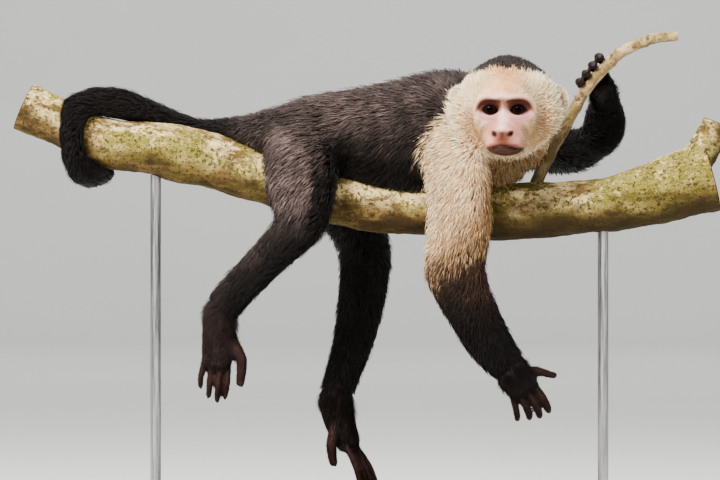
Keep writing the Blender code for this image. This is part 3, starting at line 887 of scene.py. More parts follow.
FLESH = [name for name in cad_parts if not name.startswith(("perch_", "stand_"))]
BODY_NODES = [name for name in FLESH if not name.startswith("ear_") and not name.endswith(DIGITS)]
BODY_VOXEL = 3.2  # mm
DIGIT_VOXEL = 1.15
SWELL = 0.55  # closes the clearances between the nodes before they are joined
DIGIT_SWELL = 0.22
PRESS_GAP = 13  # coat closer to the wood than this is pressed flat


def coat_of(name):
    """Row of COAT whose key starts the node's name; the trunk's own keys are whole names."""
    return next(row for key, row in COAT.items() if name.startswith(key))


class Body(Shell):
    """A part of the skin with what its coat needs at each vertex."""

    def __init__(self, names, voxel, swell):
        points, triangles, owner = join_solids(names, swell)
        super().__init__(*remeshed(points, triangles, voxel))
        self.names = names
        self.round_off(8)
        self.owner = owner[nearest(surface_tree(points, triangles), self.points)[2]]

    def lies_on(self, starts):
        """Whether each vertex lies on a node whose name starts so."""
        return np.array([name.startswith(starts) for name in self.names])[self.owner]

    def triangles_on(self, starts):
        """Numbers of the triangles whose first corner lies on such a node."""
        return np.flatnonzero(self.lies_on(starts)[self.triangles[:, 0]])

    def share(self, *starts, times):
        """Near 1 on the nodes whose names start so and 0 elsewhere, with soft edges."""
        return self.smooth(self.lies_on(starts).astype(float), times)

    def refine(self, zone, cuts):
        """Splits the faces whose corners are all in the zone into a finer grid."""
        mesh = bpy.data.meshes.new("refining")
        mesh.from_pydata(self.points.tolist(), [], self.faces.tolist())
        bm = bmesh.new()
        bm.from_mesh(mesh)
        bm.faces.ensure_lookup_table()
        chosen = np.flatnonzero(zone[self.faces].all(axis=1))
        edges = list({edge for k in chosen.tolist() for edge in bm.faces[k].edges})
        bmesh.ops.subdivide_edges(bm, edges=edges, cuts=cuts, use_grid_fill=True)
        bmesh.ops.triangulate(bm, faces=[face for face in bm.faces if len(face.verts) > 4])
        bm.to_mesh(mesh)
        bm.free()
        points, faces = mesh_arrays(mesh)
        bpy.data.meshes.remove(mesh)
        points *= MM  # this mesh holds millimetres, which mesh_arrays takes for metres
        tree = KDTree(len(self.points))
        for k, point in enumerate(self.points.tolist()):
            tree.insert(point, k)
        tree.balance()
        self.owner = self.owner[[tree.find(point)[1] for point in points.tolist()]]
        super().__init__(points, faces)


def press_on_wood(body):
    """How flat the coat is pressed by the limb and the stem, and how far the skin reaches out to them: up to
    4 mm where it is pressed, and up to 6 mm more where it faces them."""
    wood = surface_tree(*join_solids(["perch_limb", "perch_twig"], 0)[:2])
    place, _, _, gap = nearest(wood, body.points)
    facing = ease((unit(place - body.points) * body.normals()).sum(axis=1), 0.1, 0.7)
    pressed = ease(gap, PRESS_GAP, 2)
    reach = pressed * np.clip(gap - 0.6, 0, 4.0) + ease(gap, 16, 5) * facing * np.clip(gap - 4.0, 0, 6.0)
    return pressed, reach


def make_body():
    """The skin without its digits: the joined nodes, sunk by the coat's depth, with the face made anew."""
    body = Body(BODY_NODES, BODY_VOXEL, SWELL)
    u, v, w = to_head(body.points).T
    front = (w > 9) & (np.abs(u) < 40) & (v < 33) & (v > -52)
    body.refine(front & (body.share("head", "eye", times=6) > 0.6), 3)
    local = to_head(body.points)
    body.head = body.share("head", "eye", times=8)
    depth = np.array([coat_of(name)[0] for name in body.names])[body.owner]
    depth = np.where(body.owner == body.names.index("head"), head_depth(local), depth)
    pressed, reach = press_on_wood(body)
    body.depth = body.smooth(depth, 14) * (1 - 0.85 * pressed)
    sink = body.smooth(body.depth + SWELL - reach, 4)
    body.points = body.points - body.normals() * sink[:, None]
    body.round_off(6)
    local = to_head(body.points)
    distance = np.linalg.norm(local, axis=1)
    body.face = ease(local[:, 2], 2, 12) * ease(body.head, 0.35, 0.75)
    distance = distance + (face_radius(local / distance[:, None]) - distance) * body.face
    body.points = from_head(unit(local) * distance[:, None])
    nose = from_head([[0, -20, 50]])
    body.root = [int(np.argmin(np.linalg.norm(body.points - nose, axis=1)))]
    return body


def make_paw(hand, limb):
    """A hand or foot with its digits as one fine skin, its root the vertices nearest the limb. The knuckles
    are smoothed: outward freely, and inward the less the nearer the digits, so that these keep their girth."""
    paw = Body([name for name in FLESH if name.startswith(hand)], DIGIT_VOXEL, DIGIT_SWELL)
    near = np.linalg.norm(paw.points - node_solid(limb)[0].mean(axis=0), axis=1)
    paw.root = np.flatnonzero(near < near.min() + 4)
    paw.digit = paw.share(*[f"{hand}_{end}" for end in DIGITS], times=6)
    wide = paw.smooth(paw.digit, 30)
    knuckle = span(wide, 0.02, 0.2, 0.75, 0.97)
    inward = 0.12 + 0.7 * ease(wide, 0.6, 0.35)
    for _ in range(40):
        step = paw.smooth(paw.points, 1) - paw.points
        outward = (step * paw.normals()).sum(axis=1) > 0
        paw.points = paw.points + step * (knuckle * np.where(outward, 1.0, inward))[:, None]
    paw.sleeve = ease(paw.distance_from(paw.root), 24, 6)
    paw.points = paw.points - paw.normals() * (DIGIT_SWELL + 0.15 + 2.6 * paw.sleeve)[:, None]
    return paw


def body_look(body):
    """Skin and coat colours, hair length, lock width and lie of the coat at each vertex. The coat lies away
    from the nose along the skin, and hangs a little on the trunk and neck."""
    local = to_head(body.points)
    u, v, w = local.T
    shares = {
        "front": body.share("neck", "trunk_chest", "upper_arm_right", times=8),
        "near_arm": body.share("upper_arm_right", "forearm_right", times=10),
        "far_arm": body.share("upper_arm_left", times=8),
        "thigh": body.share("thigh_right", times=14),
        "sheen": body.share("trunk", "thigh_right", times=14) + 0.45 * body.share("shank_right", times=14),
    }
    body.normal = body.normals()
    head = ease(body.head, 0.3, 0.7)
    trunk, skull = body_tones(body.points, body.normal, shares), head_fur(local)
    body.pale, body.dark = (blend(head, trunk[k], skull[k]) for k in (0, 1))
    body.fade = trunk[2] * (1 - head) + skull[2] * head
    body.bare = body.face * bare_share(local)
    body.skin_tone = painted(
        blend(body.fade, body.dark, body.pale) * 0.85,
        (body.face * ease(oval(u, v, 33, -14, 40), 1.02, 0.8) * ease(v, 22, 12), face_tones(local)),
        (body.share("hand", "foot", times=4), HAND_SKIN),
    )
    table = np.array([coat_of(name) for name in body.names])[body.owner]
    fringe = body.face * ease(body.depth, 5.5, 1.0)
    crown = 1 - 0.45 * (ease(v, 14, 34) * head)
    body.hair = body.smooth(table[:, 1], 12) * crown * (1 - 0.64 * fringe) * (1 - 0.4 * body.bare)
    body.width = body.smooth(table[:, 2], 12) * (1 - 0.4 * fringe)
    lie = body.slope(body.smooth(body.distance_from(body.root), 60))
    hang = body.share("trunk", "neck", times=10)[:, None] * np.array([0, 0, -0.55])
    body.lie = along_surface(unit(body.smooth(lie + hang, 10)), body.normal)


def paw_look(paw):
    """Dark leathery skin, lighter over the knuckles, with short black hair lying to the digit tips, which takes a
    painted sheen where it faces the key light, most on the near foot.
    """
    paw.lie = paw.slope(paw.smooth(paw.distance_from(paw.root), 20))
    paw.normal = paw.normals()
    warm = np.clip(0.4 + 0.5 * ripple(paw.points, 9, 51), 0, 1)
    paw.skin_tone = painted(
        HAND_SKIN * 0.5, (warm, HAND_SKIN * 1.1), (ease(paw.digit, 0.5, 1.0) * 0.55, (50, 26, 20))
    )
    # painted sheen on the hair where it faces the key light, strongest on the near foot
    sheen = 0.5 if "foot_right" in paw.names else 0.15
    lit = ease(paw.normal @ np.array([-0.38, -0.62, 0.69]), -0.1, 0.95) * sheen
    paw.pale = paw.dark = painted(BLACK_FUR, (lit, (70, 50, 48)))
    paw.fade = np.zeros(len(paw.points))
    paw.hair = 9.5 - 5.0 * paw.digit + 5.0 * paw.sleeve
    paw.width = 0.62 - 0.1 * paw.digit + 0.3 * paw.sleeve
    paw.depth = 1.2 - 0.6 * paw.digit + 3.8 * paw.sleeve
    paw.cover = 1 - 0.5 * paw.digit


def join_skin(shells, finish):
    """All the shells as one mesh that stands for every flesh node."""
    points, faces = joined([(shell.points, shell.triangles) for shell in shells])
    tones = np.vstack([shell.skin_tone for shell in shells])
    skin = put_mesh("capuchin_skin", points, faces, finish, tone=tones, slot="black_coat")
    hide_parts(*[name for name in FLESH if not name.startswith("eye_")])
    return points, faces


# --------------------------------------------------------------------------- the coat

PATCH = 0.003  # size of a tuft's own place on the unwrap
UNWRAP_VOXEL = 6
TRIES = 3.4  # random points for each square of the spacing
CELL = 1.18  # cube that keeps one of them, in spacings
STRAY = 0.12  # share of the locks that stand proud
# Tufts by their number of bands of three points: faces, and the places of their points on the patch.
TUFTS = {
    1: (
        [(0, 1, 3), (1, 2, 3), (2, 0, 3), (0, 2, 1)],
        np.array([(0, 0), (0.5, 0.15), (1, 0), (0.5, 1)]),
    ),
    2: (
        [(0, 1, 4, 3), (1, 2, 5, 4), (2, 0, 3, 5), (3, 4, 6), (4, 5, 6), (5, 3, 6), (0, 2, 1)],
        np.array([(0, 0), (0.5, 0.15), (1, 0), (0, 0.6), (0.5, 0.7), (1, 0.6), (0.5, 1)]),
    ),
}


class Unwrap:
    """A coarse copy of the skin laid out flat by Blender's Smart UV Project, to look up places on it."""

    def __init__(self, points, triangles):
        obj = voxel_object(points, triangles, UNWRAP_VOXEL)
        obj.data.uv_layers.new(name="flat")
        bpy.ops.object.mode_set(mode="EDIT")
        bpy.ops.mesh.select_all(action="SELECT")
        bpy.ops.uv.smart_project(angle_limit=math.radians(66), island_margin=0.004)
        bpy.ops.object.mode_set(mode="OBJECT")
        where, faces = mesh_arrays(obj.data)
        flat = read(obj.data.uv_layers["flat"].data, "uv", np.float32, 2)
        corner = flat[read(obj.data.polygons, "loop_start")[:, None] + np.arange(4)]
        drop(obj)
        self.spots = np.vstack([corner[:, [0, 1, 2]], corner[:, [0, 2, 3]]])
        self.corners = where[triangles_of(faces)]
        self.tree = surface_tree(self.corners.reshape(-1, 3), np.arange(self.corners.size // 3).reshape(-1, 3))

    def spot(self, points):
        """Flat place of the nearest point of the coarse skin, from its shares of the triangle's corners."""
        where, _, index, _ = nearest(self.tree, points)
        a, b, c = self.corners[index].swapaxes(0, 1)
        ab, ac, ap = b - a, c - a, where - a
        d00, d01, d11 = (ab * ab).sum(1), (ab * ac).sum(1), (ac * ac).sum(1)
        d20, d21 = (ap * ab).sum(1), (ap * ac).sum(1)
        base = np.maximum(d00 * d11 - d01 * d01, 1e-9)
        second = ((d11 * d20 - d01 * d21) / base)[:, None]
        third = ((d00 * d21 - d01 * d20) / base)[:, None]
        spots = self.spots[index]
        return spots[:, 0] * (1 - second - third) + spots[:, 1] * second + spots[:, 2] * third


def cell_key(points, size):
    """One number for the cube of space that each point lies in."""
    cell = np.floor(points / size).astype(np.int64)
    return (cell[:, 0] * 4099 + cell[:, 1]) * 4099 + cell[:, 2]


def scatter(shell, chosen, spacing, rng):
    """Evenly strewn places on the chosen triangles: random points, of which each cube of space keeps one.
    Returns each place's triangle and its shares of the three corners."""
    triangles = shell.triangles[chosen]
    a, b, c = shell.points[triangles].swapaxes(0, 1)
    area = np.linalg.norm(np.cross(b - a, c - a), axis=1) / 2
    count = int(area.sum() * TRIES / spacing**2)
    pick = rng.choice(len(triangles), count, p=area / area.sum())
    r, s = np.sqrt(rng.random(count)), rng.random(count)
    shares = np.column_stack([1 - r, r * (1 - s), r * s])
    where = (shell.points[triangles[pick]] * shares[:, :, None]).sum(axis=1)
    keep = np.unique(cell_key(where, spacing * CELL), return_index=True)[1]
    return triangles[pick[keep]], shares[keep]


def band_of_three(centre, sideways, upward, wide):
    """The flattened triangle of points round a lock: one to either side and one above."""
    wide = wide[:, None]
    across = sideways * wide / 2
    return np.stack([centre + across, centre + upward * wide * 0.42, centre - across], axis=1)


def build_tufts(name, bands, tip, tones, tip_tone, spots, finish, slot):
    """Bands of three points and a tip for each tuft, as one mesh. Its OFBake map gives each tuft a small
    patch round its root's place on the unwrap."""
    faces, layout = TUFTS[len(bands)]
    points = np.concatenate([*bands, tip[:, None]], axis=1)
    count, size = points.shape[:2]
    flat = np.concatenate(faces)
    corners = np.arange(count)[:, None] * size + flat
    sizes = np.tile([len(face) for face in faces], count)
    tone = np.concatenate([np.repeat(tone[:, None], 3, axis=1) for tone in tones] + [tip_tone[:, None]], axis=1)
    obj = put_mesh(name, points.reshape(-1, 3), corners, finish, tone.reshape(-1, 3), slot, sizes=sizes)
    place = spots[:, None] + (layout[flat][None] - 0.5) * PATCH
    layer = obj.data.uv_layers.new(name="OFBake")
    layer.data.foreach_set("uv", np.clip(place, 0, 1).astype(np.float32).ravel())


class Coat:
    """Grows tufts on a shell: each follows the coat's lie, hugs the skin and ends inside the coat's depth."""

    def __init__(self, shell, unwrap=None, hair=None):
        self.shell, self.unwrap, self.hair = shell, unwrap, hair
        self.tree = surface_tree(shell.points, shell.triangles)

    def hug(self, points, height):
        """Points moved to a height over the skin beneath them, and the skin's normals there."""
        where, up, _, _ = nearest(self.tree, points)
        return where + up * height[:, None], up

    def grow(self, name, chosen, spacing, kind, seed, keep=None, fine=False):
        """Locks on the chosen triangles, thinned by keep: a base band, a waist band and a tip, or as fine hair
        a base band and a tip. The tips of the locks in a cube of space draw together."""
        rng = np.random.default_rng(SEED + seed)
        shell = self.shell
        corners, shares = scatter(shell, chosen, spacing * math.sqrt(THIN), rng)

        def at(field):
            field = field[corners]
            return (field * (shares[:, :, None] if field.ndim == 3 else shares)).sum(axis=1)

        if keep is not None:
            stay = rng.random(len(corners)) < at(keep)
            corners, shares = corners[stay], shares[stay]
        count = len(corners)
        root, normal, lie = at(shell.points), unit(at(shell.normal)), unit(at(shell.lie))
        side = unit(np.cross(normal, lie))
        length = at(shell.hair) * rng.uniform(0.72, 1.2, count)
        width = at(shell.width) * rng.uniform(0.75, 1.25, count) * 1
        depth = at(shell.depth)
        turn = np.radians(13 * ripple(root, 26, seed) + 9 * ripple(root, 8, seed + 1) + rng.normal(0, 8, count))
        aim = lie * np.cos(turn)[:, None] + side * np.sin(turn)[:, None]
        rise = rng.uniform(0.55, 1.12, count) + 0.5 * (rng.random(count) < STRAY)
        middle, up = self.hug(root + aim * (length * 0.48)[:, None], depth * rise * 0.72 + 0.2)
        tip, _ = self.hug(root + aim * length[:, None], depth * rise + 0.15)
        if not fine:
            _, index, size = np.unique(cell_key(root, CLUMP[kind]), return_inverse=True, return_counts=True)
            index = index.reshape(-1)
            mean = np.stack([np.bincount(index, tip[:, k]) for k in range(3)], axis=1) / size[:, None]
            tip = tip + (mean[index] - tip) * (0.34 * rng.uniform(0.3, 1.3, count))[:, None]
            tip = tip + (aim * (rng.uniform(-0.04, 0.1, count) * length)[:, None])
        fade = at(shell.fade)
        pick = ease(fade + np.sqrt(np.clip(fade * (1 - fade), 0, 1)) * rng.normal(0, 0.6, count), 0.3, 0.7)
        spread = (0.34 - 0.2 * pick) * (rng.normal(0, 1, count) + 0.8 * ripple(root, 13, seed + 2))
        tone = blend(pick, at(shell.dark), at(shell.pale)) * np.exp(spread)[:, None]
        base = band_of_three(root - normal * 0.4, side, normal, width * (1.0 if fine else 0.8))
        # Each lock is darker towards its root, painted shade down in the coat, and lighter at its tip, painted
        # sheen.
        if fine:
            bands, tones, bright = [base], [tone * 0.6], tone * 1.3
        else:
            bands = [base, band_of_three(middle, unit(np.cross(up, aim)), up, width)]
            tones = [tone * (0.45 + 0.4 * pick)[:, None], np.minimum(tone * 1.06, 1)]
            bright = tone * (1.9 - 0.6 * pick)[:, None]
        spots = self.unwrap.spot(root)
        build_tufts(name, bands, tip, tones, np.minimum(bright, 1), spots, self.hair[kind], f"{kind}_coat")


# --------------------------------------------------------------------------- eyes, lids, ears and nails

GRIP = np.array([217.5, 14.1, 414.0])  # where the far hand holds the stem
GRIP_AIM = unit(np.array([27.0, 7, 47]))


def make_eye(side, sign, finish):
    """A ball whose rings gather towards the pupil and whose cornea stands a little proud of it."""
    rows, columns = 56, 72
    polar = math.pi * (np.arange(rows) / (rows - 1)) ** 1.5
    radius = EYE_RADIUS + 0.55 * np.exp(-((polar / 0.5) ** 4))
    right, up, forward = np.eye(3)
    out = (np.sin(polar) * radius)[:, None]
    local = rings((np.cos(polar) * radius)[:, None] * forward, out * right, out * up, columns).reshape(-1, 3)
    reach = np.repeat(polar * EYE_RADIUS, columns)
    angle = np.tile(circle(columns), rows)
    spokes = 0.75 + 0.35 * np.sin(angle * 23 + 3 * np.sin(angle * 5)) * bump(reach, 3.8, 1.6)
    tone = painted(
        linear((30, 15, 9)) * spokes[:, None],
        (ease(reach, 4.9, 6.0), (9, 5, 4)),  # dark edge of the iris
        (ease(reach, 6.2, 7.4), (36, 20, 16)),
        (ease(reach, 3.2, 2.8), (3, 2, 2)),  # pupil
    )
    points = from_head(local + EYE_PLACE * (sign, 1, 1))
    eye = put_mesh(f"eyeball_{side}", points, grid_quads(rows, columns)[:, ::-1], finish, tone, "eye")
    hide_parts(f"eye_{side}")


def make_lid_rim(side, sign, finish):
    """A thin wet rim round the opening: a ring carried round the almond on the lids' sphere."""
    columns, around, thick = 96, 10, 0.5
    turn = circle(columns)
    u = np.cos(turn) * EYE_OPENING[0]
    v = np.sign(np.sin(turn)) * lid_half(np.cos(turn), np.sin(turn)) + 0.6 * np.cos(turn) * sign
    w = np.sqrt(np.maximum((LID_RADIUS - 0.15) ** 2 - u**2 - v**2, 1))
    centre = np.column_stack([u, v, w])
    outward = unit(centre)
    along = unit(np.roll(centre, -1, axis=0) - np.roll(centre, 1, axis=0))
    tube = rings(centre, outward * thick, np.cross(along, outward) * thick, around)
    quads = grid_quads(columns + 1, around) % (columns * around)
    points = from_head(tube.reshape(-1, 3) + EYE_PLACE * (sign, 1, 1))
    tone = np.tile(linear((38, 20, 16)), (len(points), 1))
    put_mesh(f"lid_rim_{side}", points, outward_quads(points, quads), finish, tone, "dark_skin")


def make_ear(side, sign, finish):
    """A closed dish: elliptical rings from the middle of its back, over the rolled rim, to the middle of the
    front, which is hollow with a second ridge inside the rim."""
    rows, columns = 46, 64
    travel = np.linspace(0, 1, rows)
    turn = circle(columns)
    ring = np.sin(math.pi * travel) ** 0.8
    ring[0] = ring[-1] = 0.002
    front = travel > 0.5
    ridges = 1.4 * bump(ring, 0.93, 0.09), 1.5 * bump(ring, 0.56, 0.1)
    hollow = ridges[0] - 3.0 * np.maximum(1 - (ring / 0.8) ** 2, 0) + ridges[1]
    back = -1.9 - 2.3 * np.maximum(1 - ring**2, 0)
    height = np.where(front, hollow, back * np.minimum(1, (1 - ring) * 12 + 0.35))
    pointed = 1 + 0.10 * bump(turn, 2.0 if sign > 0 else math.pi - 2.0, 0.5)
    u = np.outer(ring, np.cos(turn) * EAR_SIZE[0] * pointed).ravel()
    v = np.outer(ring, np.sin(turn) * EAR_SIZE[1] * pointed).ravel()
    w = (height[:, None] + np.outer(ring * front, 0.5 * np.sin(3 * turn))).ravel()
    flare = math.radians(EAR_FLARE) * sign
    swung = [u * math.cos(flare) + w * math.sin(flare), v, w * math.cos(flare) - u * math.sin(flare)]
    points = from_head(np.column_stack(swung) * 0.93 + EAR_PLACE * (sign, 1, 1))
    inner = np.repeat(ease(ring, 0.8, 0.45) * front, columns)
    # painted shade: the hollow of the ear is browner
    tone = painted(linear((226, 196, 166)), (inner * 0.9, (136, 86, 46)))
    quads = outward_quads(points - points.mean(axis=0), grid_quads(rows, columns))
    put_mesh(f"outer_ear_{side}", points, quads, finish, tone, "dark_skin")
    ear = Shell(points, quads)
    ear.normal = ear.normals()
    ear.lie = along_surface(points - from_head(EAR_PLACE * (sign * 0.8, 0.4, 1)), ear.normal)
    ear.pale, ear.dark = (np.tile(fur, (len(points), 1)) for fur in (WHITE_FUR, TAN_FUR))
    # painted shade: the hair in the hollow of the ear is tan
    ear.fade = 1 - 0.8 * inner
    ear.hair = 8.5 - 2.5 * inner
    ear.width, ear.depth = (np.full(len(points), size) for size in (0.6, 1.6))
    ear.cover = np.repeat(np.where(front, ease(ring, 0.2, 0.6), 1.0), columns)
    return ear


def digit_frame(name):
    """A digit's tip, its pointing direction and its outer side, from the bend of its solid. The gripping
    fingers' points are put in order by their angle round the stem, the others' by distance from the palm."""
    points, _ = node_solid(name)
    hand = name.rsplit("_", 1)[0]
    order = np.argsort(np.linalg.norm(points - node_solid(hand)[0].mean(axis=0), axis=1))
    if hand == "hand_left":
        away = points - GRIP
        around = away - (away @ GRIP_AIM)[:, None] * GRIP_AIM
        angle = np.unwrap(np.arctan2(around @ np.cross(GRIP_AIM, [0, 1, 0]), around[:, 1]))
        order = np.argsort(np.abs(angle - angle[order[:6]].mean()))
    count = max(len(points) // 5, 6)
    parts = (slice(-count, None), slice(-3 * count, -2 * count), slice(count))
    tip, before, base = (points[order[part]].mean(axis=0) for part in parts)
    aim = unit(tip - before)
    return tip, aim, along_surface(points.mean(axis=0) - (tip + base) / 2, aim), points


def make_nails(paws, finish):
    """Curved nails on the ends of the digits: each a patch laid on the skin of the digit's back, running a
    little past its end and narrowing, given thickness by a second sheet beneath it."""
    rows, columns = 8, 9
    index = np.arange(rows * columns).reshape(rows, columns)
    border = np.r_[index[0], index[1:, -1], index[-1, -2::-1], index[-2:0:-1, 0]]
    after = np.roll(border, -1)
    grid = grid_quads(rows, columns, wrap=False)
    wall = np.column_stack([border, after, after + index.size, border + index.size])
    faces = np.vstack([grid, grid[:, ::-1] + index.size, wall[:, ::-1]])
    along = np.linspace(-4.6, 0.9, rows)[:, None]
    on_skin = np.minimum(along, -1.3)
    angle = np.linspace(-1, 1, columns)[None] * 0.85 * (1 - 0.6 * ease(along, -1.8, 0.9))
    nails = []
    for paw in paws:
        skin = Coat(paw)
        for name in [name for name in paw.names if name.endswith(DIGITS)]:
            tip, aim, back, solid = digit_frame(name)
            side = np.cross(aim, back)
            end = solid[np.linalg.norm(solid - tip, axis=1) < 5] - tip
            radius = np.linalg.norm(np.cross(end, aim), axis=1).max()
            offset = paw.points - tip
            inside = np.linalg.norm(np.cross(offset, aim), axis=1) < radius + 0.3
            reach = (offset[inside & (np.linalg.norm(offset, axis=1) < 9)] @ aim).max()
            out = back * np.cos(angle)[..., None] + side * np.sin(angle)[..., None]
            start = tip + aim * (reach + on_skin)[..., None] + out * radius
            past = (aim - back * 0.35) * (along - on_skin)[..., None]
            sheets = [skin.hug(start.reshape(-1, 3), np.full(index.size, lift))[0] for lift in (0.32, -0.5)]
            patch = (np.stack(sheets).reshape(2, *start.shape) + past).reshape(-1, 3)
            nails.append((patch, outward_quads(patch - patch.mean(axis=0), faces)))
    put_mesh("nails", *joined(nails), finish, slot="dark_skin")


# --------------------------------------------------------------------------- limb, twig and stand

# Stations along the wood: place, then half its thickness up and across.
LIMB = [
    (-312, 0, 390, 23, 23), (-279, 0, 375, 22, 23), (-237, 0, 356, 23.5, 24),
    (-195, 0, 351, 24, 25), (-165, 0, 345, 27, 26), (-140, 0, 340, 26, 26),
    (-91, 0, 325, 25.5, 25), (-28, 0, 306, 25, 25), (23, 0, 296, 24, 25),
    (84, 0, 293, 24.5, 25), (144, 0, 292, 27, 26), (223, 0, 298, 25, 25),
    (270, 0, 308, 29, 27), (304, 0, 318, 32, 29), (326, 0, 324, 33, 30),
]  # fmt: skip
FORK = [(298, 0, 320, 18, 18), (314, 0, 341, 16, 16), (325, 0, 360, 14, 14), (331, 0, 374, 13, 13)]
TWIG = [
    (158, 0, 306, 6, 6), (178, 4, 349, 6, 6), (189, 8, 367, 5.8, 5.8), (203, 12, 393, 5.5, 5.5),
    (216, 14, 413, 5.5, 5.5), (230, 15, 428, 5.5, 5.5), (243, 15, 440, 5.5, 5.5),
    (261, 15, 449, 5.2, 5.2), (276, 15, 454, 5, 5), (296, 14, 456, 5, 5),
]  # fmt: skip
# Knots of the limb, each a place and a size, and the twig's joints by their place along X.
KNOTS = [
    (268, -22, 322, 7), (205, -24, 296, 5), (160, -22, 303, 4.5),
    (-150, -20, 352, 6), (12, -24, 288, 5), (-270, -20, 362, 5),
]  # fmt: skip
JOINTS = (181, 206, 238, 268)
# Buds of the twig: place of the foot, direction, length and width.
BUDS = [
    ((205, 8, 396), (-0.8, -0.3, 0.6), 8, 2.4), ((207, 8, 399), (-0.3, -0.7, 0.9), 7, 2.1),
    ((237, 12, 435), (-0.7, -0.2, 0.8), 6, 1.8), ((268, 11, 452), (-0.1, -0.6, 1), 5, 1.5),
]  # fmt: skip
END_RINGS = np.array([0.97, 0.9, 0.6, 0.3, 0.02])  # sizes of the rings that close a sawn end


def smooth_rows(stations, steps):
    """Catmull-Rom curve through the stations with their thicknesses, steps rows to a span."""
    rows = np.array(stations, float)
    ends = np.vstack([2 * rows[0] - rows[1], rows, 2 * rows[-1] - rows[-2]])
    a, b, c, d = (ends[k : len(ends) - 3 + k, None] for k in range(4))
    t = (np.arange(steps) / steps)[None, :, None]
    spans = 0.5 * (2 * b + (c - a) * t + (2 * a - 5 * b + 4 * c - d) * t**2 + (3 * b - a - 3 * c + d) * t**3)
    return np.vstack([spans.reshape(-1, rows.shape[1]), rows[-1]])


def wood_tube(stations, steps, columns, relief, rim=1.2):
    """A closed branch: ellipses carried along the curve, pushed in and out by the relief function of place,
    with flat sawn ends whose edge is worn round by rim. Also tells each point's height round the branch, and
    0 on the bark or, on an end, a number that grows from its heart outward."""
    rows = smooth_rows(stations, steps)
    centre, half = rows[:, :3], rows[:, 3:]
    along = unit(np.gradient(centre, axis=0))
    depth = along_surface(np.array([0.0, 1, 0]), along)
    out = rings(centre * 0, np.cross(along, depth) * half[:, :1], depth * half[:, 1:], columns)
    points = centre[:, None] + out
    push = relief(points.reshape(-1, 3)).reshape(len(rows), columns, 1)
    points = points + out / np.linalg.norm(out, axis=-1, keepdims=True) * push
    lift = np.array([0.7, 1, 1, 1, 1])[:, None, None] * rim
    ends = []
    for k, sign in ((0, -1), (-1, 1)):
        heart = points[k].mean(axis=0)
        ends.append(heart + (points[k] - heart) * END_RINGS[:, None, None] + along[k] * sign * lift)
    added = len(END_RINGS)
    height = np.pad((out[..., 2] / half[:, :1] + 1) / 2, ((added, added), (0, 0)))
    cut = np.zeros_like(height)
    cut[: added - 1] = 0.5 + 0.5 * END_RINGS[:0:-1, None]
    cut[1 - added :] = 0.5 + 0.5 * END_RINGS[1:, None]
    grid = np.concatenate([ends[0][::-1], points, ends[1]])
    points = grid.reshape(-1, 3)
    return points, outward_quads(points, grid_quads(len(grid), columns)), height.ravel(), cut.ravel()


def limb_relief(points):
    """Slow swellings, long shallow ridges and small warts, in millimetres, never far outward."""
    stretched = points * (0.35, 1, 1)
    lump = 0.7 * ripple(points, 46, 61)
    ridge = 0.55 * ripple(stretched, 9, 62, 11) + 0.3 * ripple(stretched, 4, 63, 11)
    wart = 1.2 * np.maximum(ripple(points, 10, 64, 11) - 0.95, 0)
    return lump + ridge + wart - 0.5


def knot_relief(points):
    """The limb's relief with a few knots, each a raised ring round a hollow."""
    push = limb_relief(points)
    for *place, size in KNOTS:
        away = np.linalg.norm(points - place, axis=1) / size
        push = push + 1.8 * bump(away, 1.0, 0.45) - 2.2 * bump(away, 0, 0.7)
    return push


def twig_relief(points):
    """Fine length-wise lines, and a swelling where each old leaf stood."""
    lines = 0.18 * ripple(points * (1, 1, 0.5), 5, 71, 9) + 0.12 * ripple(points, 2.4, 72, 9)
    return lines + 0.8 * sum(bump(points[:, 0], x, 2.2) for x in JOINTS) - 0.25


def make_limb():
    """The limb and its fork, whose tone holds the height round the wood and the cut ends."""
    tubes = [wood_tube(LIMB, 26, 104, knot_relief), wood_tube(FORK, 22, 72, limb_relief)]
    height, cut = (np.concatenate([tube[k] for tube in tubes]) for k in (2, 3))
    tone = np.column_stack([height, cut, np.zeros(len(height))])
    limb = put_mesh("mossy_limb", *joined(tubes), bark_finish(), tone, "bark")
    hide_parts("perch_limb")


def bud(foot, aim, length, width):
    """A small pointed bud: rings whose size follows the sine of their place along it."""
    rows, columns = 12, 12
    travel = np.linspace(0, 1, rows)[:, None]
    ring = width * np.sin(math.pi * travel**0.7) + 0.02
    aim = unit(np.array(aim, float))
    side = unit(np.cross(aim, [0, 0, 1.0]))
    points = rings(aim * length * travel, ring * side, ring * np.cross(side, aim), columns).reshape(-1, 3)
    return points + foot, outward_quads(points, grid_quads(rows, columns))


def make_twig():
    """The gripped stem and its buds, whose joint tone darkens the joints and buds."""
    stem = wood_tube(TWIG, 24, 28, twig_relief, 0.6)
    points, quads = joined([stem, *[bud(*row) for row in BUDS]])
    joint = np.ones(len(points))
    joint[: len(stem[0])] = 0.8 * sum(bump(stem[0][:, 0], x, 1.6) for x in JOINTS)
    tone = np.repeat(joint[:, None], 3, axis=1)
    twig = put_mesh("gripped_twig", points, quads, twig_finish(), tone, "bark", "joint")
    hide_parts("perch_twig")


def dress_stand():
    """The stand's own solids keep their shapes and get real finishes."""
    wood, steel = stand_wood_finish().material, steel_finish().material
    for name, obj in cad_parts.items():
        if name.startswith("stand_"):
            finish = wood if name == "stand_base" else steel
            for slot in obj.material_slots:
                slot.material = finish
            if not obj.material_slots:
                obj.data.materials.append(finish)


# --------------------------------------------------------------------------- stage, light and camera

CAMERA_AWAY = 4.0  # metres
CAMERA_HEIGHT = 0.2656
VIEW_WIDTH = 0.6696  # width of the view at the limb
FILM = 36


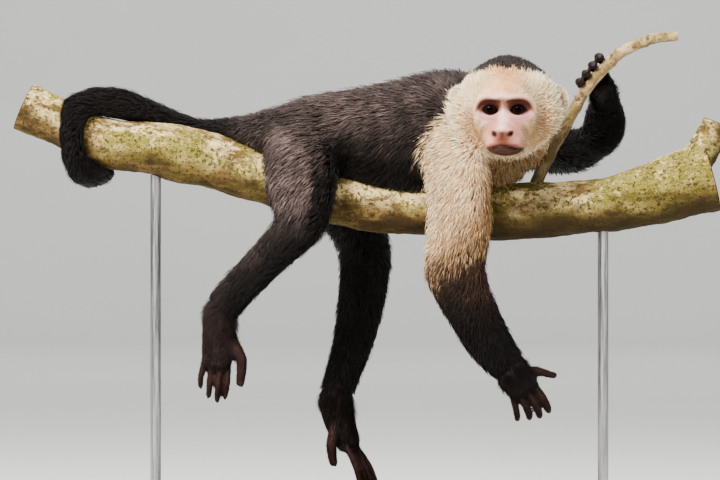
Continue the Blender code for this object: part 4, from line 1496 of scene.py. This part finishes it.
def make_stage():
    """A pale sweep: floor, a quarter-round rise behind and a wall, as one sheet drawn along its width."""
    front, back, radius, top, half_width = -10000, 7000, 2500, 12000, 16000.0
    turn = np.linspace(0, math.pi / 2, 17)[1:]
    depth = np.concatenate([[front, back], back + radius * np.sin(turn), [back + radius]])
    height = np.concatenate([[0, 0], radius - radius * np.cos(turn), [top]])
    width = np.tile([-half_width, half_width], len(depth))
    points = np.column_stack([width, np.repeat(depth, 2), np.repeat(height, 2)])
    put_mesh("studio_sweep", points, grid_quads(len(depth), 2, wrap=False)[:, ::-1], stage_finish())


def soft_light(name, place, aim, size, power, colour=(1, 1, 1)):
    """An elliptical lamp turned to shine from its place, in metres, towards the aim."""
    data = bpy.data.lights.new(name, "AREA")
    data.shape = "ELLIPSE"
    data.size, data.size_y = size
    data.energy = power
    data.color = colour
    lamp = bpy.data.objects.new(name, data)
    bpy.context.scene.collection.objects.link(lamp)
    lamp.location = place
    direction = unit(np.array(aim, float) - place)
    lamp.rotation_euler = (math.acos(-direction[2]), 0, math.atan2(-direction[0], direction[1]))
    return lamp


def make_lights():
    """A warm key from the left, a weak fill, a top light and a light for the wall, in a dim even world."""
    centre = (0, 0, 0.3)
    soft_light("key_light", (-1.3, -2.2, 2.3), centre, (1.5, 1.1), 330, (1.0, 0.96, 0.91))
    soft_light("fill_light", (2.4, -2.4, 0.9), centre, (1.8, 1.8), 18, (0.95, 0.98, 1.0))
    soft_light("top_light", (0.2, 0.5, 2.4), centre, (2.0, 1.4), 75)
    wall = soft_light("wall_light", (0, 3.0, 5.0), (0, 9.5, 3.0), (8.0, 2.0), 520)
    wall.visible_camera = False
    world = bpy.data.worlds.new("soft_studio")
    world.use_nodes = True
    background = world.node_tree.nodes["Background"]
    background.inputs["Color"].default_value = (1.0, 0.98, 0.95, 1)
    background.inputs["Strength"].default_value = 0.26
    bpy.context.scene.world = world


def make_camera():
    """Level, in front of the limb."""
    data = bpy.data.cameras.new("camera")
    data.sensor_width = FILM
    data.lens = FILM * CAMERA_AWAY / VIEW_WIDTH
    camera = bpy.data.objects.new("camera", data)
    camera.location = (0, -CAMERA_AWAY, CAMERA_HEIGHT)
    camera.rotation_euler = (math.radians(90), 0, 0)
    bpy.context.scene.collection.objects.link(camera)
    bpy.context.scene.camera = camera


# --------------------------------------------------------------------------- putting it together


def grow_body_coat(body, unwrap, hair):
    """The locks of the FUR pieces, sparse where the face is bare, and the fine nap of the face."""
    coat = Coat(body, unwrap, hair)
    furred = np.maximum(ease(body.depth, 1.3, 3.0), 1 - ease(body.face, 0.1, 0.6))
    furred = furred * (1 - ease(body.bare, 0.1, 0.5))
    for seed, (name, (starts, spacing, kind)) in enumerate(FUR.items(), 1):
        keep = furred if name == "coat_head" else None
        coat.grow(name, body.triangles_on(starts), spacing, kind, 10 * seed, keep)
    local = to_head(body.points)
    fuzz = ease(muzzle_ring(local[:, 0], local[:, 1]), 0.5, 0.85) * bump(local[:, 1], -26, 6)
    nap = body.face * (1 - ease(body.bare, 0.15, 0.75) * (1 - 0.3 * fuzz))
    nap = nap * (1 - ease(body.depth, 3.2, 5.0)) * ease(body.head, 0.4, 0.7)
    coat.grow("coat_face", body.triangles_on("head"), 0.72, "cream", 200, nap, fine=True)


def grow_all_over(shell, unwrap, hair, name, spacing, kind, seed):
    """Fine hair over the whole of a small shell."""
    zone = np.arange(len(shell.triangles))
    Coat(shell, unwrap, hair).grow(name, zone, spacing, kind, seed, shell.cover, fine=True)


def make_animal():
    """Skin first, then the coats that grow on it, the eyes, the ears and the nails."""
    body = make_body()
    body_look(body)
    paws = {hand: make_paw(hand, limb) for hand, limb in PAWS.items()}
    for paw in paws.values():
        paw_look(paw)
    skin = skin_finish()
    unwrap = Unwrap(*join_skin([body, *paws.values()], skin))
    hair = {
        "cream": coat_finish("cream_hair", 0.6, 0.03, 0.1),
        "black": coat_finish("black_hair", 0.45, 0.02, 0.12),
    }
    grow_body_coat(body, unwrap, hair)
    for number, (hand, paw) in enumerate(paws.items()):
        grow_all_over(paw, unwrap, hair, f"coat_{hand}", 0.85, "black", 300 + number)
    eye = eye_finish()
    for side, sign in (("right", -1), ("left", 1)):
        make_eye(side, sign, eye)
        make_lid_rim(side, sign, skin)
        ear = make_ear(side, sign, skin)
        grow_all_over(ear, unwrap, hair, f"coat_ear_{side}", 0.75, "cream", 400 + sign)
    make_nails(paws.values(), nail_finish())


make_camera()
make_stage()
make_lights()
make_limb()
make_twig()
dress_stand()
make_animal()
